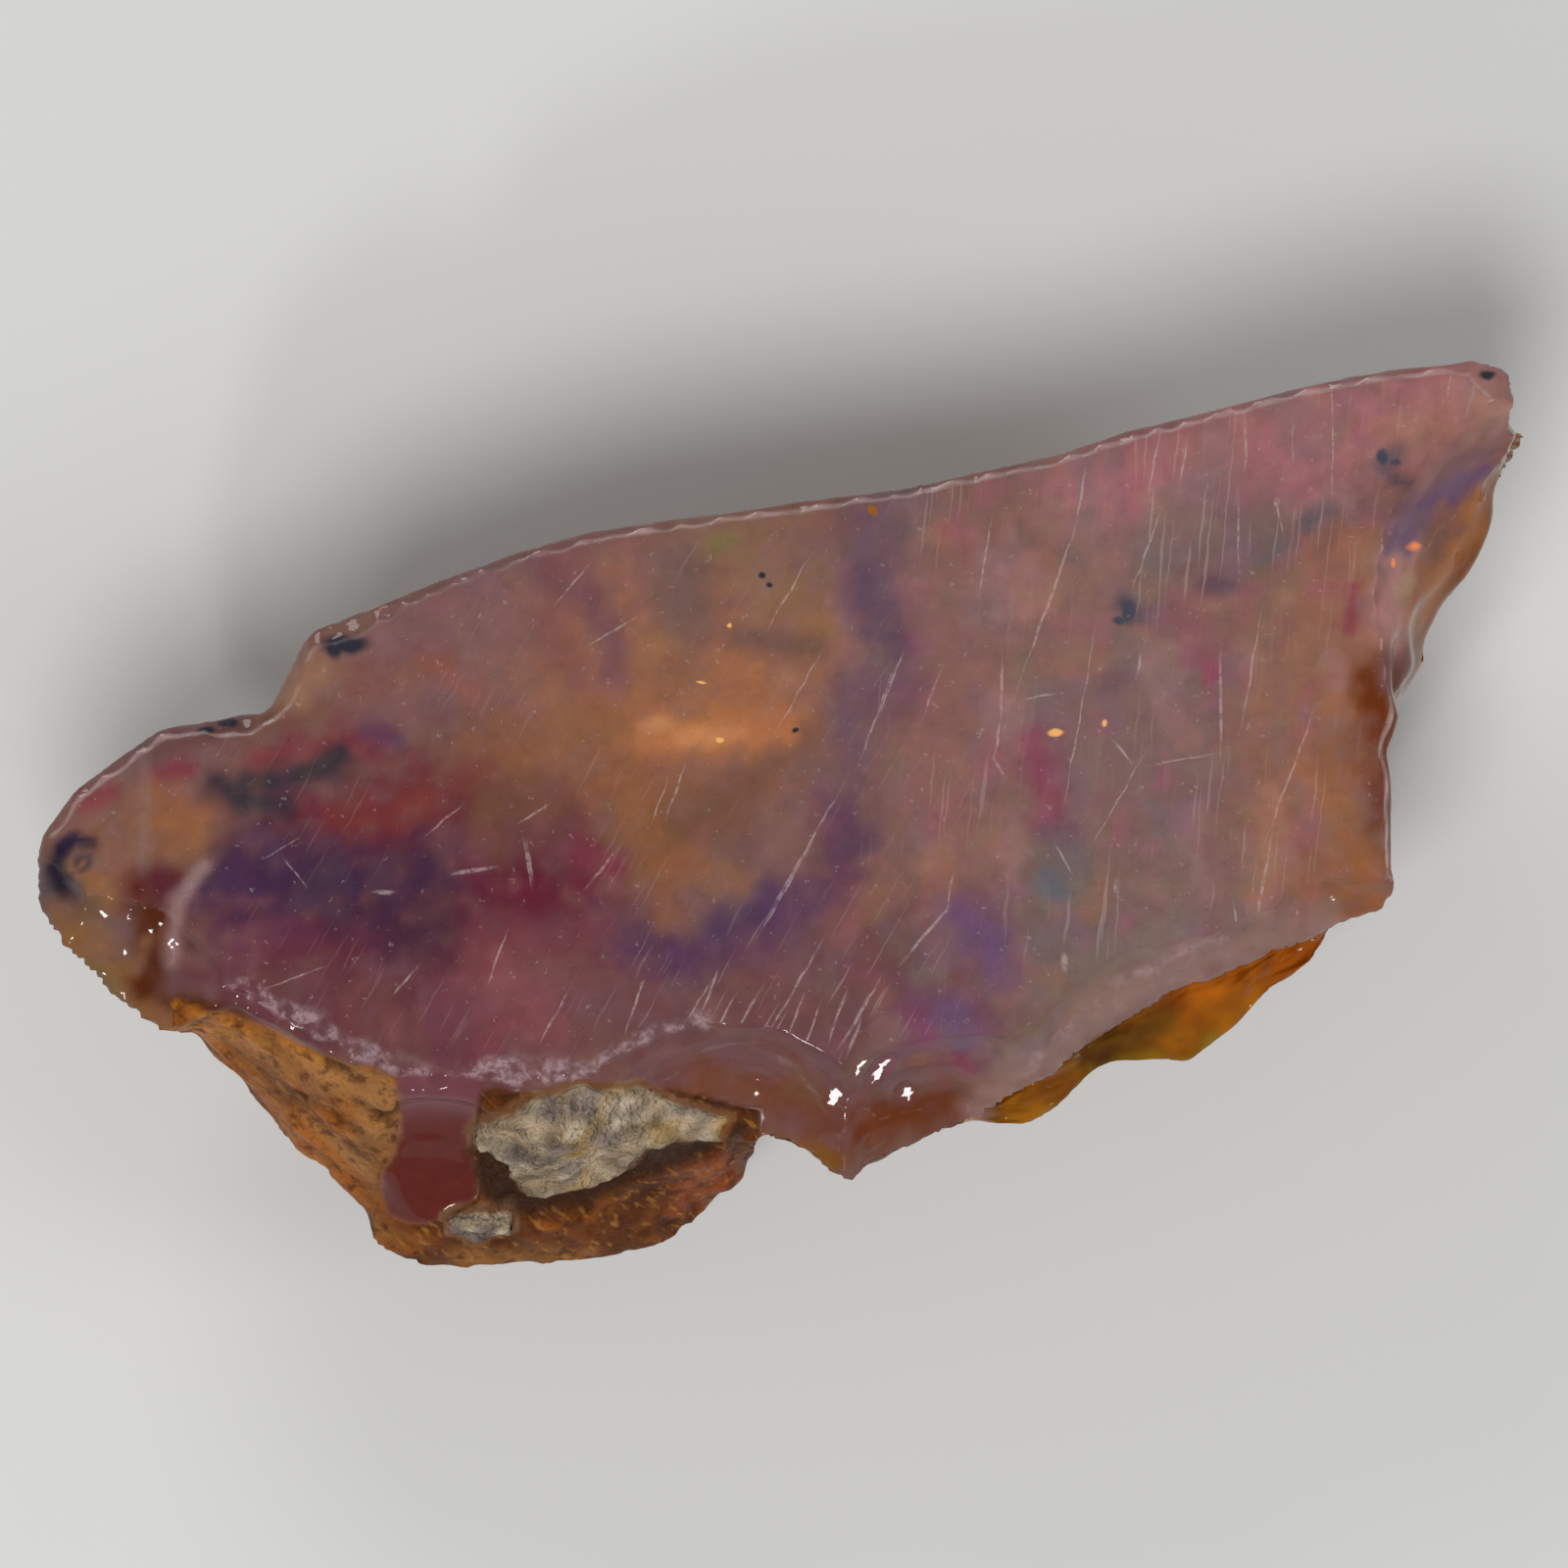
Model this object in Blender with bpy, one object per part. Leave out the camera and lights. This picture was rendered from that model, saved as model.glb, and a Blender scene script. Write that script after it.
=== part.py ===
"""Rough Ethiopian opal, one broken chip of a nodule with a sawn window on top.

The stone lies on its belly with the sawn window level and facing up. X runs along the photographed
left to right, Y up the picture, and Z out of the window. The origin is under the middle of the
stone's box, on the surface that it lies on. Every size here is in millimetres until the last step.
"""

import math
import random

import bmesh
import bpy
from mathutils import Vector, noise
from mathutils.bvhtree import BVHTree

MM = 0.001
ALL_WAYS = {"use_axis_x": True, "use_axis_y": True, "use_axis_z": True}

# Driving sizes of the stone. The base is the rim's outline at a share of its size, with its small
# turns smoothed away. Fullness is how far the belly bulges, from a straight slope to a quarter ellipse.
WINDOW_HEIGHT = 7.6
CHIP_SLOPE = 0.55
BASE_CENTRE = Vector((-0.9, -0.6))
BASE_SHARE = 0.45
MOST_FULLNESS = 0.6
SPINE_LEFT = Vector((-9.4, -0.9))
SPINE_RIGHT = Vector((9.6, 3.4))

# How finely the rim is divided, and how strongly the belly is evened out below it
COLUMN_WIDTH = 0.42
BASE_SMOOTHING = 8
EVENING_PASSES = 14

# Rings of the stone from the middle of the window down to the base
INSET_SHARE = 0.3
BEVEL_ROWS = 4
FLANK_ROWS = 6
BELLY_ROWS = 9
LEAST_LEDGE = 0.1

# The rim, clockwise from the left tip. Each stretch gives the width of the chipped bevel along the
# window, how far below the window the stone is widest, and how late the flank swings outwards. A rim
# point is the window's edge, followed by the widest point of the stone beyond it where that differs.
RIM = [
    ("left tip", 0.15, 2.2, 1.0, [(-13.4, -1.1), (-13.2, -0.3), (-12.6, 0.5), (-11.8, 1.1)]),
    ("upper left edge", 0.15, 2.4, 1.0, [(-11.1, 1.6), (-10.4, 1.7), (-9.6, 1.9), (-9.2, 1.9)]),
    ("notch", 0.3, 2.4, 1.0, [(-9.0, 2.4), (-8.6, 3.1), (-8.3, 3.4), (-7.6, 3.6)]),
    ("sawn top edge", 0.1, 2.8, 1.0, [
        (-6.2, 4.2), (-4.8, 4.7), (-3.4, 5.1), (-2.0, 5.3), (-0.6, 5.5), (0.8, 5.7), (2.2, 5.9),
        (3.6, 6.2), (5.0, 6.5), (6.2, 6.9), (7.8, 7.3), (9.3, 7.7), (10.9, 8.0), (12.0, 8.1),
    ]),
    ("top right corner", 0.3, 2.0, 1.0, [(12.5, 8.2), (12.9, 8.1), (13.1, 7.9), (13.1, 7.3)]),
    ("right spall", 0.15, 2.4, 1.2, [
        (13.1, 6.8, 13.4, 6.9), (12.8, 6.3, 13.2, 6.4), (12.4, 5.9, 13.0, 5.9),
        (12.0, 5.5, 13.0, 5.4), (11.6, 5.0, 12.8, 4.8), (11.3, 4.4, 12.5, 4.2),
        (11.2, 3.8, 12.0, 3.7), (11.2, 3.2, 11.7, 3.2), (11.3, 2.6, 11.7, 2.7),
        (11.1, 2.2, 11.4, 2.2),
    ]),
    ("right edge", 0.15, 2.4, 1.0, [
        (11.0, 1.7), (10.8, 1.2), (10.9, 0.6), (10.9, -0.2), (10.9, -0.9), (11.0, -1.3), (10.8, -1.7),
    ]),
    ("amber shelf", 0.85, 3.3, 2.4, [
        (10.1, -1.9, 10.0, -2.0), (9.3, -2.3, 9.6, -2.6), (8.5, -2.6, 8.8, -3.2),
        (7.8, -2.9, 8.2, -3.8), (7.1, -3.1, 7.4, -4.5), (6.3, -3.6, 6.7, -4.5),
        (5.5, -4.1, 5.8, -4.7), (4.9, -4.6, 5.0, -5.3), (4.1, -5.0, 4.3, -5.6),
        (3.4, -5.5, 3.6, -5.6),
    ]),
    ("lower point", 1.5, 2.6, 1.0, [
        (2.6, -5.9), (1.9, -6.3), (1.2, -6.5), (0.7, -6.3), (0.1, -5.9), (-0.4, -5.8),
    ]),
    ("rind", 0.25, 4.3, 0.95, [
        (-0.9, -5.5, -0.5, -6.1), (-1.4, -5.2, -0.9, -6.7), (-2.0, -5.0, -1.7, -7.4),
        (-2.9, -4.8, -2.6, -7.8), (-3.8, -4.8, -3.4, -8.0), (-4.7, -4.8, -4.5, -8.2),
        (-5.5, -4.8, -5.7, -8.2), (-6.2, -4.8, -6.5, -8.1), (-6.9, -4.7, -7.3, -7.6),
        (-7.8, -4.3, -8.1, -6.6), (-8.7, -3.8, -9.0, -5.6), (-9.7, -3.3, -9.8, -4.6),
        (-10.4, -3.5, -10.5, -3.9),
    ]),
    ("lower left edge", 0.8, 2.2, 1.0, [
        (-11.1, -3.8), (-11.8, -3.4), (-12.5, -2.7), (-12.9, -2.3), (-13.2, -1.9), (-13.4, -1.6),
    ]),
]

# Shell-shaped chips: where, the side that the blow came from, the radius of the hollow and its depth.
# All but the last three are seen from above.
CHIPS = [
    ("left tip chip", (-11.3, -2.5, 7.5), (-0.3, -0.45, 0.85), 3.4, 0.45),
    ("left tip step", (-12.9, -1.6, 7.4), (-0.6, -0.3, 0.7), 2.4, 0.25),
    ("notch chip", (-9.1, 2.7, 7.4), (-0.6, 0.5, 0.6), 2.0, 0.3),
    ("notch ledge", (-9.9, 1.9, 7.4), (0.0, 0.7, 0.7), 1.6, 0.2),
    ("corner chip", (12.9, 8.0, 7.4), (0.5, 0.5, 0.7), 1.6, 0.3),
    ("right spall hollow", (12.1, 4.8, 6.7), (0.6, -0.2, 0.75), 4.4, 0.45),
    ("right sliver", (11.5, 2.8, 6.7), (0.8, -0.1, 0.55), 2.4, 0.3),
    ("shelf chip far right", (9.9, -1.9, 7.2), (0.25, -0.6, 0.8), 3.0, 0.25),
    ("shelf chip right", (8.7, -2.6, 7.2), (0.05, -0.6, 0.8), 4.2, 0.25),
    ("shelf chip middle", (6.8, -3.1, 7.2), (0.15, -0.6, 0.8), 4.8, 0.3),
    ("shelf chip left", (4.9, -4.4, 7.2), (0.3, -0.6, 0.8), 4.0, 0.28),
    ("point chip right", (2.4, -5.3, 6.9), (0.2, -0.5, 0.85), 4.4, 0.35),
    ("point chip middle", (0.8, -6.1, 6.6), (0.0, -0.6, 0.8), 2.6, 0.25),
    ("point chip left", (-0.4, -5.1, 7.1), (-0.15, -0.5, 0.85), 4.8, 0.5),
    ("bare tongue", (-6.4, -6.1, 5.9), (0.0, -0.75, 0.65), 4.4, 0.3),
    ("matrix pocket", (-2.9, -6.9, 5.0), (0.1, -0.7, 0.7), 3.0, 0.35),
    ("left end facet", (-13.0, -0.6, 3.6), (-0.9, -0.1, -0.45), 9.0, 0.9),
    ("left corner facet", (-12.0, -3.1, 3.2), (-0.6, -0.75, -0.35), 7.0, 0.8),
    ("upper left facet", (-10.8, 1.6, 4.4), (-0.55, 0.8, -0.25), 8.0, 0.8),
]

# Pale host rock left on the rind: centre, half sizes and turn in degrees, and how far it stands out.
MATRIX_PATCHES = [
    ((-3.3, -5.75), (2.25, 0.85), -6.0, 0.3),
    ((-5.45, -7.3), (0.6, 0.4), -8.0, 0.2),
]
MATRIX_LEVEL = 3.0
MATRIX_FACING = Vector((0.0, -0.5, 0.8))
MATRIX_EDGE_POWER = 4

# Broken facets of the flanks and belly, struck at random from all round: how many, at what share of
# the height, the radius of the hollow and its depth. One too shallow to show isn't struck.
SCAR_SEED = 5
SCAR_SETS = [(14, (0.08, 0.5), (8.0, 16.0), (0.7, 1.3)), (16, (0.25, 0.8), (6.0, 10.0), (0.5, 0.9))]
SCAR_SCATTER = 0.6
SCAR_START = 30.0
SCAR_LEAN = 4.5
SCAR_MARGIN = 0.12
LEAST_DEPTH = 0.3
FINE_BALL_RADIUS = 4.0

# Natural unevenness of the skin
DROP_SWING = 1.1
LUMP_HEIGHT = 0.3
LUMP_SIZE = 3.6
GRAIN_HEIGHT = 0.12
GRAIN_SIZE = 1.3
WINDOW_FADE = 3.0
BASE_FADE = 0.8


def clear_scene():
    for old in list(bpy.data.objects):
        bpy.data.objects.remove(old, do_unlink=True)


def rim_stations():
    """Every rim point as edge, widest point, chip width, drop and hang."""
    stations = []
    for _, chip, drop, hang, points in RIM:
        for point in points:
            edge = Vector(point[:2])
            widest = Vector(point[2:]) if len(point) == 4 else edge.copy()
            stations.append((edge, widest, chip, drop, hang))
    return stations


def rim_columns():
    """The stations with evenly spaced columns between them, so that each station stays a corner."""
    stations = rim_stations()
    columns = []
    for here, after in zip(stations, stations[1:] + stations[:1]):
        length = max((after[0] - here[0]).length, (after[1] - here[1]).length)
        steps = max(1, round(length / COLUMN_WIDTH))
        for step in range(steps):
            share = step / steps
            edge, widest, chip, drop, hang = [
                a.lerp(b, share) if isinstance(a, Vector) else a + (b - a) * share
                for a, b in zip(here, after)
            ]
            drop += noise.noise(edge.to_3d() / LUMP_SIZE) * DROP_SWING
            columns.append((edge, widest, chip, drop, hang))
    return columns


def base_points(columns):
    """The outline of the base, which loses the small turns of the rim above it."""
    points = []
    for number in range(len(columns)):
        total = Vector((0, 0))
        for step in range(-BASE_SMOOTHING, BASE_SMOOTHING + 1):
            total += columns[(number + step) % len(columns)][1]
        middle = total / (2 * BASE_SMOOTHING + 1)
        points.append(BASE_CENTRE + (middle - BASE_CENTRE) * BASE_SHARE)
    return points


def toward_spine(point):
    """The vector from a rim point straight in to the stone's long middle line."""
    line = SPINE_RIGHT - SPINE_LEFT
    along = (point - SPINE_LEFT).dot(line) / line.length_squared
    return SPINE_LEFT + line * min(1.0, max(0.0, along)) - point


def column_points(base, edge, widest, chip, drop, hang):
    """One cut through the stone's side, from the window in, over the rim and down to the base."""
    bevel_top = edge + toward_spine(edge).normalized() * chip
    inner = bevel_top + toward_spine(bevel_top) * INSET_SHARE
    rim_height = WINDOW_HEIGHT - chip * CHIP_SLOPE
    widest_height = WINDOW_HEIGHT - drop
    points = [(*inner, WINDOW_HEIGHT)]
    for row in range(BEVEL_ROWS):
        out = row / BEVEL_ROWS
        points.append((*bevel_top.lerp(edge, out), WINDOW_HEIGHT - chip * CHIP_SLOPE * out))
    for row in range(FLANK_ROWS):
        down = row / FLANK_ROWS
        place = edge.lerp(widest, down**hang)
        points.append((*place, rim_height + (widest_height - rim_height) * down))
    fullness = min(MOST_FULLNESS, widest_height / (base - widest).length)
    for row in range(BELLY_ROWS):
        turn = row / (BELLY_ROWS - 1)
        quarter = turn * math.pi / 2
        run = (1 - fullness) * turn + fullness * (1 - math.cos(quarter))
        rise = (1 - fullness) * (1 - turn) + fullness * (1 - math.sin(quarter))
        points.append((*widest.lerp(base, run), widest_height * rise))
    return [Vector(point) for point in points]


def reshape_drum(bm):
    """A capped drum of rings, whose every vertex then goes to its place on the stone.

    Returns the vertices that are seen from above, which the scars of the underside leave alone.
    """
    rim = rim_columns()
    columns = [column_points(base, *column) for base, column in zip(base_points(rim), rim)]
    rows = len(columns[0])
    bmesh.ops.create_cone(
        bm, cap_ends=True, segments=len(columns), radius1=1, radius2=1, depth=1
    )
    upright = [e for e in bm.edges if abs(e.verts[0].co.z - e.verts[1].co.z) > 0.5]
    bmesh.ops.subdivide_edges(bm, edges=upright, cuts=rows - 2, use_grid_fill=True)
    turn = 2 * math.pi / len(columns)
    seen = []
    under = []
    for vert in bm.verts:
        column = -round(math.atan2(vert.co.y, vert.co.x) / turn) % len(columns)
        row = round((0.5 - vert.co.z) * (rows - 1))
        vert.co = columns[column][row]
        edge, widest = rim[column][:2]
        seen_row = 1 + BEVEL_ROWS + FLANK_ROWS * ((widest - edge).length > LEAST_LEDGE)
        if row <= seen_row:
            seen.append(vert)
        elif rows - BELLY_ROWS + 1 < row < rows - 1:
            under.append(vert)
    for _ in range(EVENING_PASSES):
        bmesh.ops.smooth_vert(bm, verts=under, factor=0.5, **ALL_WAYS)
    return seen


def is_flat(vert):
    """True on the sawn window and on the small flat that the stone lies on."""
    return vert.co.z > WINDOW_HEIGHT - 1e-4 or vert.co.z < 1e-4


def roughen(bm):
    """Low natural lumps and grain on the broken sides, none on the two flats."""
    bm.normal_update()
    moves = {}
    for vert in bm.verts:
        if is_flat(vert):
            continue
        lump = noise.noise(vert.co / LUMP_SIZE) * LUMP_HEIGHT
        grain = noise.noise(vert.co / GRAIN_SIZE) * GRAIN_HEIGHT
        below_window = WINDOW_HEIGHT - vert.co.z
        ease = min(1.0, below_window / WINDOW_FADE, vert.co.z / BASE_FADE)
        moves[vert] = vert.normal * (lump + grain) * ease
    for vert, move in moves.items():
        vert.co += move


def scar_balls(bm, seen):
    """The balls that break facets off the underside: each stops short of what is seen from above."""
    pick = random.Random(SCAR_SEED)
    tree = BVHTree.FromBMesh(bm)
    balls = []
    for count, levels, radii, depths in SCAR_SETS:
        for number in range(count):
            around = 2 * math.pi * (number + SCAR_SCATTER * pick.random()) / count
            height = pick.uniform(*levels) * WINDOW_HEIGHT
            radius = pick.uniform(*radii)
            depth = pick.uniform(*depths)
            outward = Vector((math.cos(around), math.sin(around), 0))
            middle = Vector((BASE_CENTRE.x + outward.x * SCAR_LEAN, BASE_CENTRE.y, height))
            struck, blow = tree.ray_cast(middle + outward * SCAR_START, -outward)[:2]
            centre = struck + blow * (radius - depth)
            nearest = min((vert.co - centre).length for vert in seen)
            held_back = max(0.0, radius + SCAR_MARGIN - nearest)
            if depth - held_back > LEAST_DEPTH:
                balls.append((centre + blow * held_back, radius))
    return balls


def chip_balls():
    """The balls of the chips that have a place of their own."""
    return [
        (Vector(place) + Vector(blow).normalized() * (radius - depth), radius)
        for _, place, blow, radius, depth in CHIPS
    ]


def cut_with_balls(stone, balls, cutters):
    """Each ball takes one shell-shaped chip off the stone."""
    for number, (centre, radius) in enumerate(balls):
        bm = bmesh.new()
        fineness = 3 if radius < FINE_BALL_RADIUS else 4
        bmesh.ops.create_icosphere(bm, subdivisions=fineness, radius=radius * MM)
        mesh = bpy.data.meshes.new(f"blow_{number}")
        bm.to_mesh(mesh)
        bm.free()
        ball = bpy.data.objects.new(f"blow_{number}", mesh)
        ball.location = centre * MM
        ball.hide_render = True
        ball.display_type = "WIRE"
        cutters.objects.link(ball)
        modifier = stone.modifiers.new(f"chip_{number}", "BOOLEAN")
        modifier.operation = "DIFFERENCE"
        modifier.solver = "EXACT"
        modifier.object = ball


def raise_matrix(bm):
    """The crusts of host rock stand a little proud of the rind."""
    for middle, half, degrees, height in MATRIX_PATCHES:
        turn = math.radians(-degrees)
        for vert in bm.verts:
            if is_flat(vert) or vert.co.z < MATRIX_LEVEL:
                continue
            away = vert.co.xy - Vector(middle)
            along = away.x * math.cos(turn) - away.y * math.sin(turn)
            across = away.x * math.sin(turn) + away.y * math.cos(turn)
            reach = math.hypot(along / half[0], across / half[1])
            if reach < 1:
                vert.co += MATRIX_FACING * height * (1 - reach**MATRIX_EDGE_POWER)


def opal_material():
    material = bpy.data.materials.new("opal")
    material.use_nodes = True
    shader = material.node_tree.nodes["Principled BSDF"]
    shader.inputs["Base Color"].default_value = (0.2, 0.11, 0.09, 1)
    shader.inputs["Roughness"].default_value = 0.35
    shader.inputs["Metallic"].default_value = 0
    return material


def build_opal(collection, cutters):
    bm = bmesh.new()
    seen = reshape_drum(bm)
    roughen(bm)
    raise_matrix(bm)
    balls = scar_balls(bm, seen) + chip_balls()
    bmesh.ops.scale(bm, vec=(MM, MM, MM), verts=bm.verts)
    mesh = bpy.data.meshes.new("opal")
    bm.to_mesh(mesh)
    bm.free()
    mesh.materials.append(opal_material())
    opal = bpy.data.objects.new("opal", mesh)
    collection.objects.link(opal)
    mesh.shade_smooth()
    mesh.set_sharp_from_angle(angle=math.radians(28))
    cut_with_balls(opal, balls, cutters)
    return opal


def main():
    clear_scene()
    stone = bpy.data.collections.new("rough_opal")
    cutters = bpy.data.collections.new("blows")
    for collection in (stone, cutters):
        bpy.context.scene.collection.children.link(collection)
    build_opal(stone, cutters)


main()
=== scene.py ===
import math
import random

import bmesh
import bpy
import numpy as np
from mathutils import Matrix, Vector, kdtree, noise


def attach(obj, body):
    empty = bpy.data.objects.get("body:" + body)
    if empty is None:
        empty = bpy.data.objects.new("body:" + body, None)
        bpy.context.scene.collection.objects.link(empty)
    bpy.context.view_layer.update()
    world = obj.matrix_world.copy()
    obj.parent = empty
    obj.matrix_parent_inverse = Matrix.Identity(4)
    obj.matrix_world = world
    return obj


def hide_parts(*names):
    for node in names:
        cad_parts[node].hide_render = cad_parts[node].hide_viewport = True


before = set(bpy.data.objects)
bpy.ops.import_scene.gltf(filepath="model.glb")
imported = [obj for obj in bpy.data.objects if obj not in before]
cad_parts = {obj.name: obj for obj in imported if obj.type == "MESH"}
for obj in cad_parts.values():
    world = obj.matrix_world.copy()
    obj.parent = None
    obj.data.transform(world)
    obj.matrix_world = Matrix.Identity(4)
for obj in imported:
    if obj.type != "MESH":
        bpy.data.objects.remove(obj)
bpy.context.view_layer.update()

# The stone is one chip of a precious opal nodule: broken on every side, then sawn flat on top for a
# look inside. It is milky honey-coloured opal with its brown rind and a crust of cream host rock still
# on the lower left. Its sizes here are in millimetres, and the mesh is brought to metres at the end.
MM = 0.001
SKIN_STEP = 0.108
RIM_STEP = 0.1
# One step of the picture in millimetres, and the place in it that lies over the frame's zero
PICTURE_STEP = 0.0175
PICTURE_MIDDLE = (797, 835)


def spot(across, down):
    """The place in the stone, in millimetres, of a place in the picture of its window."""
    return ((across - PICTURE_MIDDLE[0]) * PICTURE_STEP, (PICTURE_MIDDLE[1] - down) * PICTURE_STEP)


# The blank: the solid, with its sawn window's edge marked, then given an even fine skin.
blank = bmesh.new()
blank.from_mesh(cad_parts["opal"].data)
bmesh.ops.remove_doubles(blank, verts=blank.verts, dist=1e-6)
bmesh.ops.scale(blank, vec=(1 / MM,) * 3, verts=blank.verts)
blank.normal_update()
window_height = max(vert.co.z for vert in blank.verts)
window = {
    face for face in blank.faces
    if face.normal.z > 0.999 and min(vert.co.z for vert in face.verts) > window_height - 0.01
}
rim_points = []
rim_inward = []
for edge in blank.edges:
    sawn = [face for face in edge.link_faces if face in window]
    if len(sawn) != 1:
        continue
    start, end = (vert.co.copy() for vert in edge.verts)
    along = (end - start).normalized()
    inward = sawn[0].calc_center_median() - start
    inward = (inward - along * inward.dot(along)).normalized()
    steps = max(1, round((end - start).length / RIM_STEP))
    for step in range(steps):
        rim_points.append(start.lerp(end, (step + 0.5) / steps))
        rim_inward.append(inward)
rim = kdtree.KDTree(len(rim_points))
for number, point in enumerate(rim_points):
    rim.insert(point, number)
rim.balance()

blank_mesh = bpy.data.meshes.new("opal_blank")
blank.to_mesh(blank_mesh)
blank.free()
blank_stone = bpy.data.objects.new("opal_blank", blank_mesh)
bpy.context.scene.collection.objects.link(blank_stone)
skin = blank_stone.modifiers.new("skin", "REMESH")
skin.mode = "VOXEL"
skin.voxel_size = SKIN_STEP
bpy.context.view_layer.update()
stone_mesh = bpy.data.meshes.new_from_object(
    blank_stone.evaluated_get(bpy.context.evaluated_depsgraph_get())
)
bpy.data.objects.remove(blank_stone)
stone_mesh.name = "opal_stone"


def read_points(mesh, name):
    values = np.zeros(len(mesh.vertices) * 3, np.float32)
    mesh.vertices.foreach_get(name, values)
    return values.reshape(-1, 3).astype(float)


def ease(low, high, values):
    share = np.clip((values - low) / (high - low), 0, 1)
    return share * share * (3 - 2 * share)


def ripple(points, size, squeeze=(1, 1, 1), shift=0.0):
    """Smooth natural unevenness, from -1 to 1, whose lumps are about this many millimetres across."""
    places = points * np.array(squeeze) / size + shift
    return np.array([noise.noise(Vector(place)) for place in places])


def crests(points, size, shift=0.0):
    """Sharp branching crests like those on broken glass, from 0 to about 1."""
    places = points / size + shift
    return np.array([
        0.5 * noise.ridged_multi_fractal(Vector(place), 0.9, 2.1, 4, 1.0, 1.6) for place in places
    ])


def gap_to(points, path):
    """How many millimetres each point is from a path over the picture, seen from above."""
    flat = points[:, :2]
    corners = [np.array(spot(*corner)) for corner in path]
    nearest = np.full(len(flat), np.inf)
    for here, after in zip(corners, corners[1:] or corners):
        run = after - here
        share = np.clip(((flat - here) @ run) / max(run @ run, 1e-9), 0, 1)
        nearest = np.minimum(nearest, np.linalg.norm(flat - here - share[:, None] * run, axis=1))
    return nearest


def depth_inside(points, outline):
    """How many millimetres each point is inside an outline, seen from above, and negative outside."""
    inside = np.zeros(len(points), bool)
    corners = [spot(*corner) for corner in outline]
    for here, after in zip(corners, corners[1:] + corners[:1]):
        crossed = (here[1] > points[:, 1]) != (after[1] > points[:, 1])
        rise = (after[1] - here[1]) or 1e-9
        crossing = here[0] + (points[:, 1] - here[1]) * (after[0] - here[0]) / rise
        inside ^= crossed & (points[:, 0] < crossing)
    return gap_to(points, outline + outline[:1]) * np.where(inside, 1, -1)


def strike(points, place, blow, radius, depth):
    """One shell-shaped chip: what lies in the ball goes straight back to the ball's far side."""
    blow = np.array(blow) / np.linalg.norm(blow)
    centre = np.array(place) + blow * (radius - depth)
    away = points - centre
    near = (away**2).sum(1) < radius**2
    along = away[near] @ blow
    aside = (away[near] ** 2).sum(1) - along**2
    points[near] += blow * (-np.sqrt(radius**2 - aside) - along)[:, None]


points = read_points(stone_mesh, "co")
normals = read_points(stone_mesh, "normal")
below_window = window_height - points[:, 2]

# Where the skin is what: the rind wraps the lower left, with a bare tongue of opal through it and two
# crusts of host rock on it. Each is a depth in millimetres, positive inside.
RIND_TOP = [(-11, -3.2), (-10, -3.55), (-8, -4.3), (-6.5, -4.85), (-4.5, -4.9), (-2, -4.95), (-0.7, -5.4)]
RIND_LEFT = -10.9
RIND_RIGHT = -0.4
rind_top = np.interp(points[:, 0], *zip(*RIND_TOP))
wander = ripple(points, 1.9, shift=3.1) * 0.5 + ripple(points, 0.6, shift=8.7) * 0.15
rind = np.minimum.reduce([
    rind_top - points[:, 1] + 0.42 * np.maximum(0, below_window - 1) + wander * ease(1.5, 3.5, below_window),
    points[:, 0] - RIND_LEFT + wander + 0.1 * below_window,
    RIND_RIGHT - points[:, 0] + 0.35 * np.maximum(0, below_window - 3) + wander * ease(1.5, 4, below_window),
])
TONGUE = [
    (404, 1092), (500, 1092), (489, 1120), (482, 1150), (474, 1175), (482, 1200), (485, 1225),
    (455, 1240), (438, 1252), (415, 1254), (392, 1246), (382, 1228), (384, 1206), (396, 1186),
    (405, 1165), (408, 1135), (404, 1112),
]
OUTSIDE = -2.0
facing_up = (normals[:, 2] > -0.05) & (below_window < 4.6)
tongue = np.where(facing_up, depth_inside(points, TONGUE), OUTSIDE)
rind = np.minimum(rind, -tongue)
CRUST = [
    (479, 1158), (488, 1150), (497, 1147), (509, 1140), (523, 1136), (538, 1125), (553, 1119),
    (570, 1118), (588, 1114), (605, 1115), (622, 1111), (636, 1114), (648, 1111), (658, 1118),
    (666, 1125), (676, 1130), (687, 1137), (700, 1139), (713, 1142), (728, 1148), (741, 1151),
    (733, 1158), (731, 1168), (715, 1168), (692, 1172), (676, 1176), (657, 1173), (650, 1184),
    (640, 1194), (624, 1200), (609, 1211), (588, 1215), (566, 1220), (548, 1217), (531, 1220),
    (526, 1208), (519, 1198), (521, 1187), (508, 1180), (497, 1171), (488, 1173),
]
SMALL_CRUST = [
    (455, 1244), (462, 1239), (476, 1241), (489, 1237), (504, 1240), (519, 1239), (516, 1250),
    (517, 1259), (500, 1262), (488, 1268), (478, 1269), (470, 1262), (459, 1260),
]
crust = np.where(
    facing_up, np.maximum(depth_inside(points, CRUST), depth_inside(points, SMALL_CRUST)), OUTSIDE
)
SHADOWED = [
    (480, 1172), (497, 1172), (520, 1188), (530, 1222), (566, 1222), (610, 1213), (645, 1196),
    (660, 1177), (735, 1166), (752, 1150), (764, 1160), (748, 1172), (716, 1186), (672, 1204),
    (625, 1224), (600, 1240), (560, 1240), (535, 1250), (518, 1238), (498, 1236), (484, 1218),
]
hollow = np.where(facing_up, depth_inside(points, SHADOWED), OUTSIDE)
SHELF = [
    (985, 1156), (1055, 1117), (1085, 1092), (1114, 1063), (1148, 1042), (1183, 1026), (1253, 999),
    (1317, 970), (1365, 949), (1392, 932), (1430, 1000), (1250, 1160), (1060, 1200), (985, 1190),
]
shelf = np.where(normals[:, 2] > -0.4, depth_inside(points, SHELF), OUTSIDE)
wiggle = ripple(points, 0.35, shift=2.2) * 0.05
crust_share = ease(-0.04, 0.1, crust + wiggle)
hollow_share = ease(-0.06, 0.16, hollow + wiggle) * (1 - crust_share)
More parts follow.
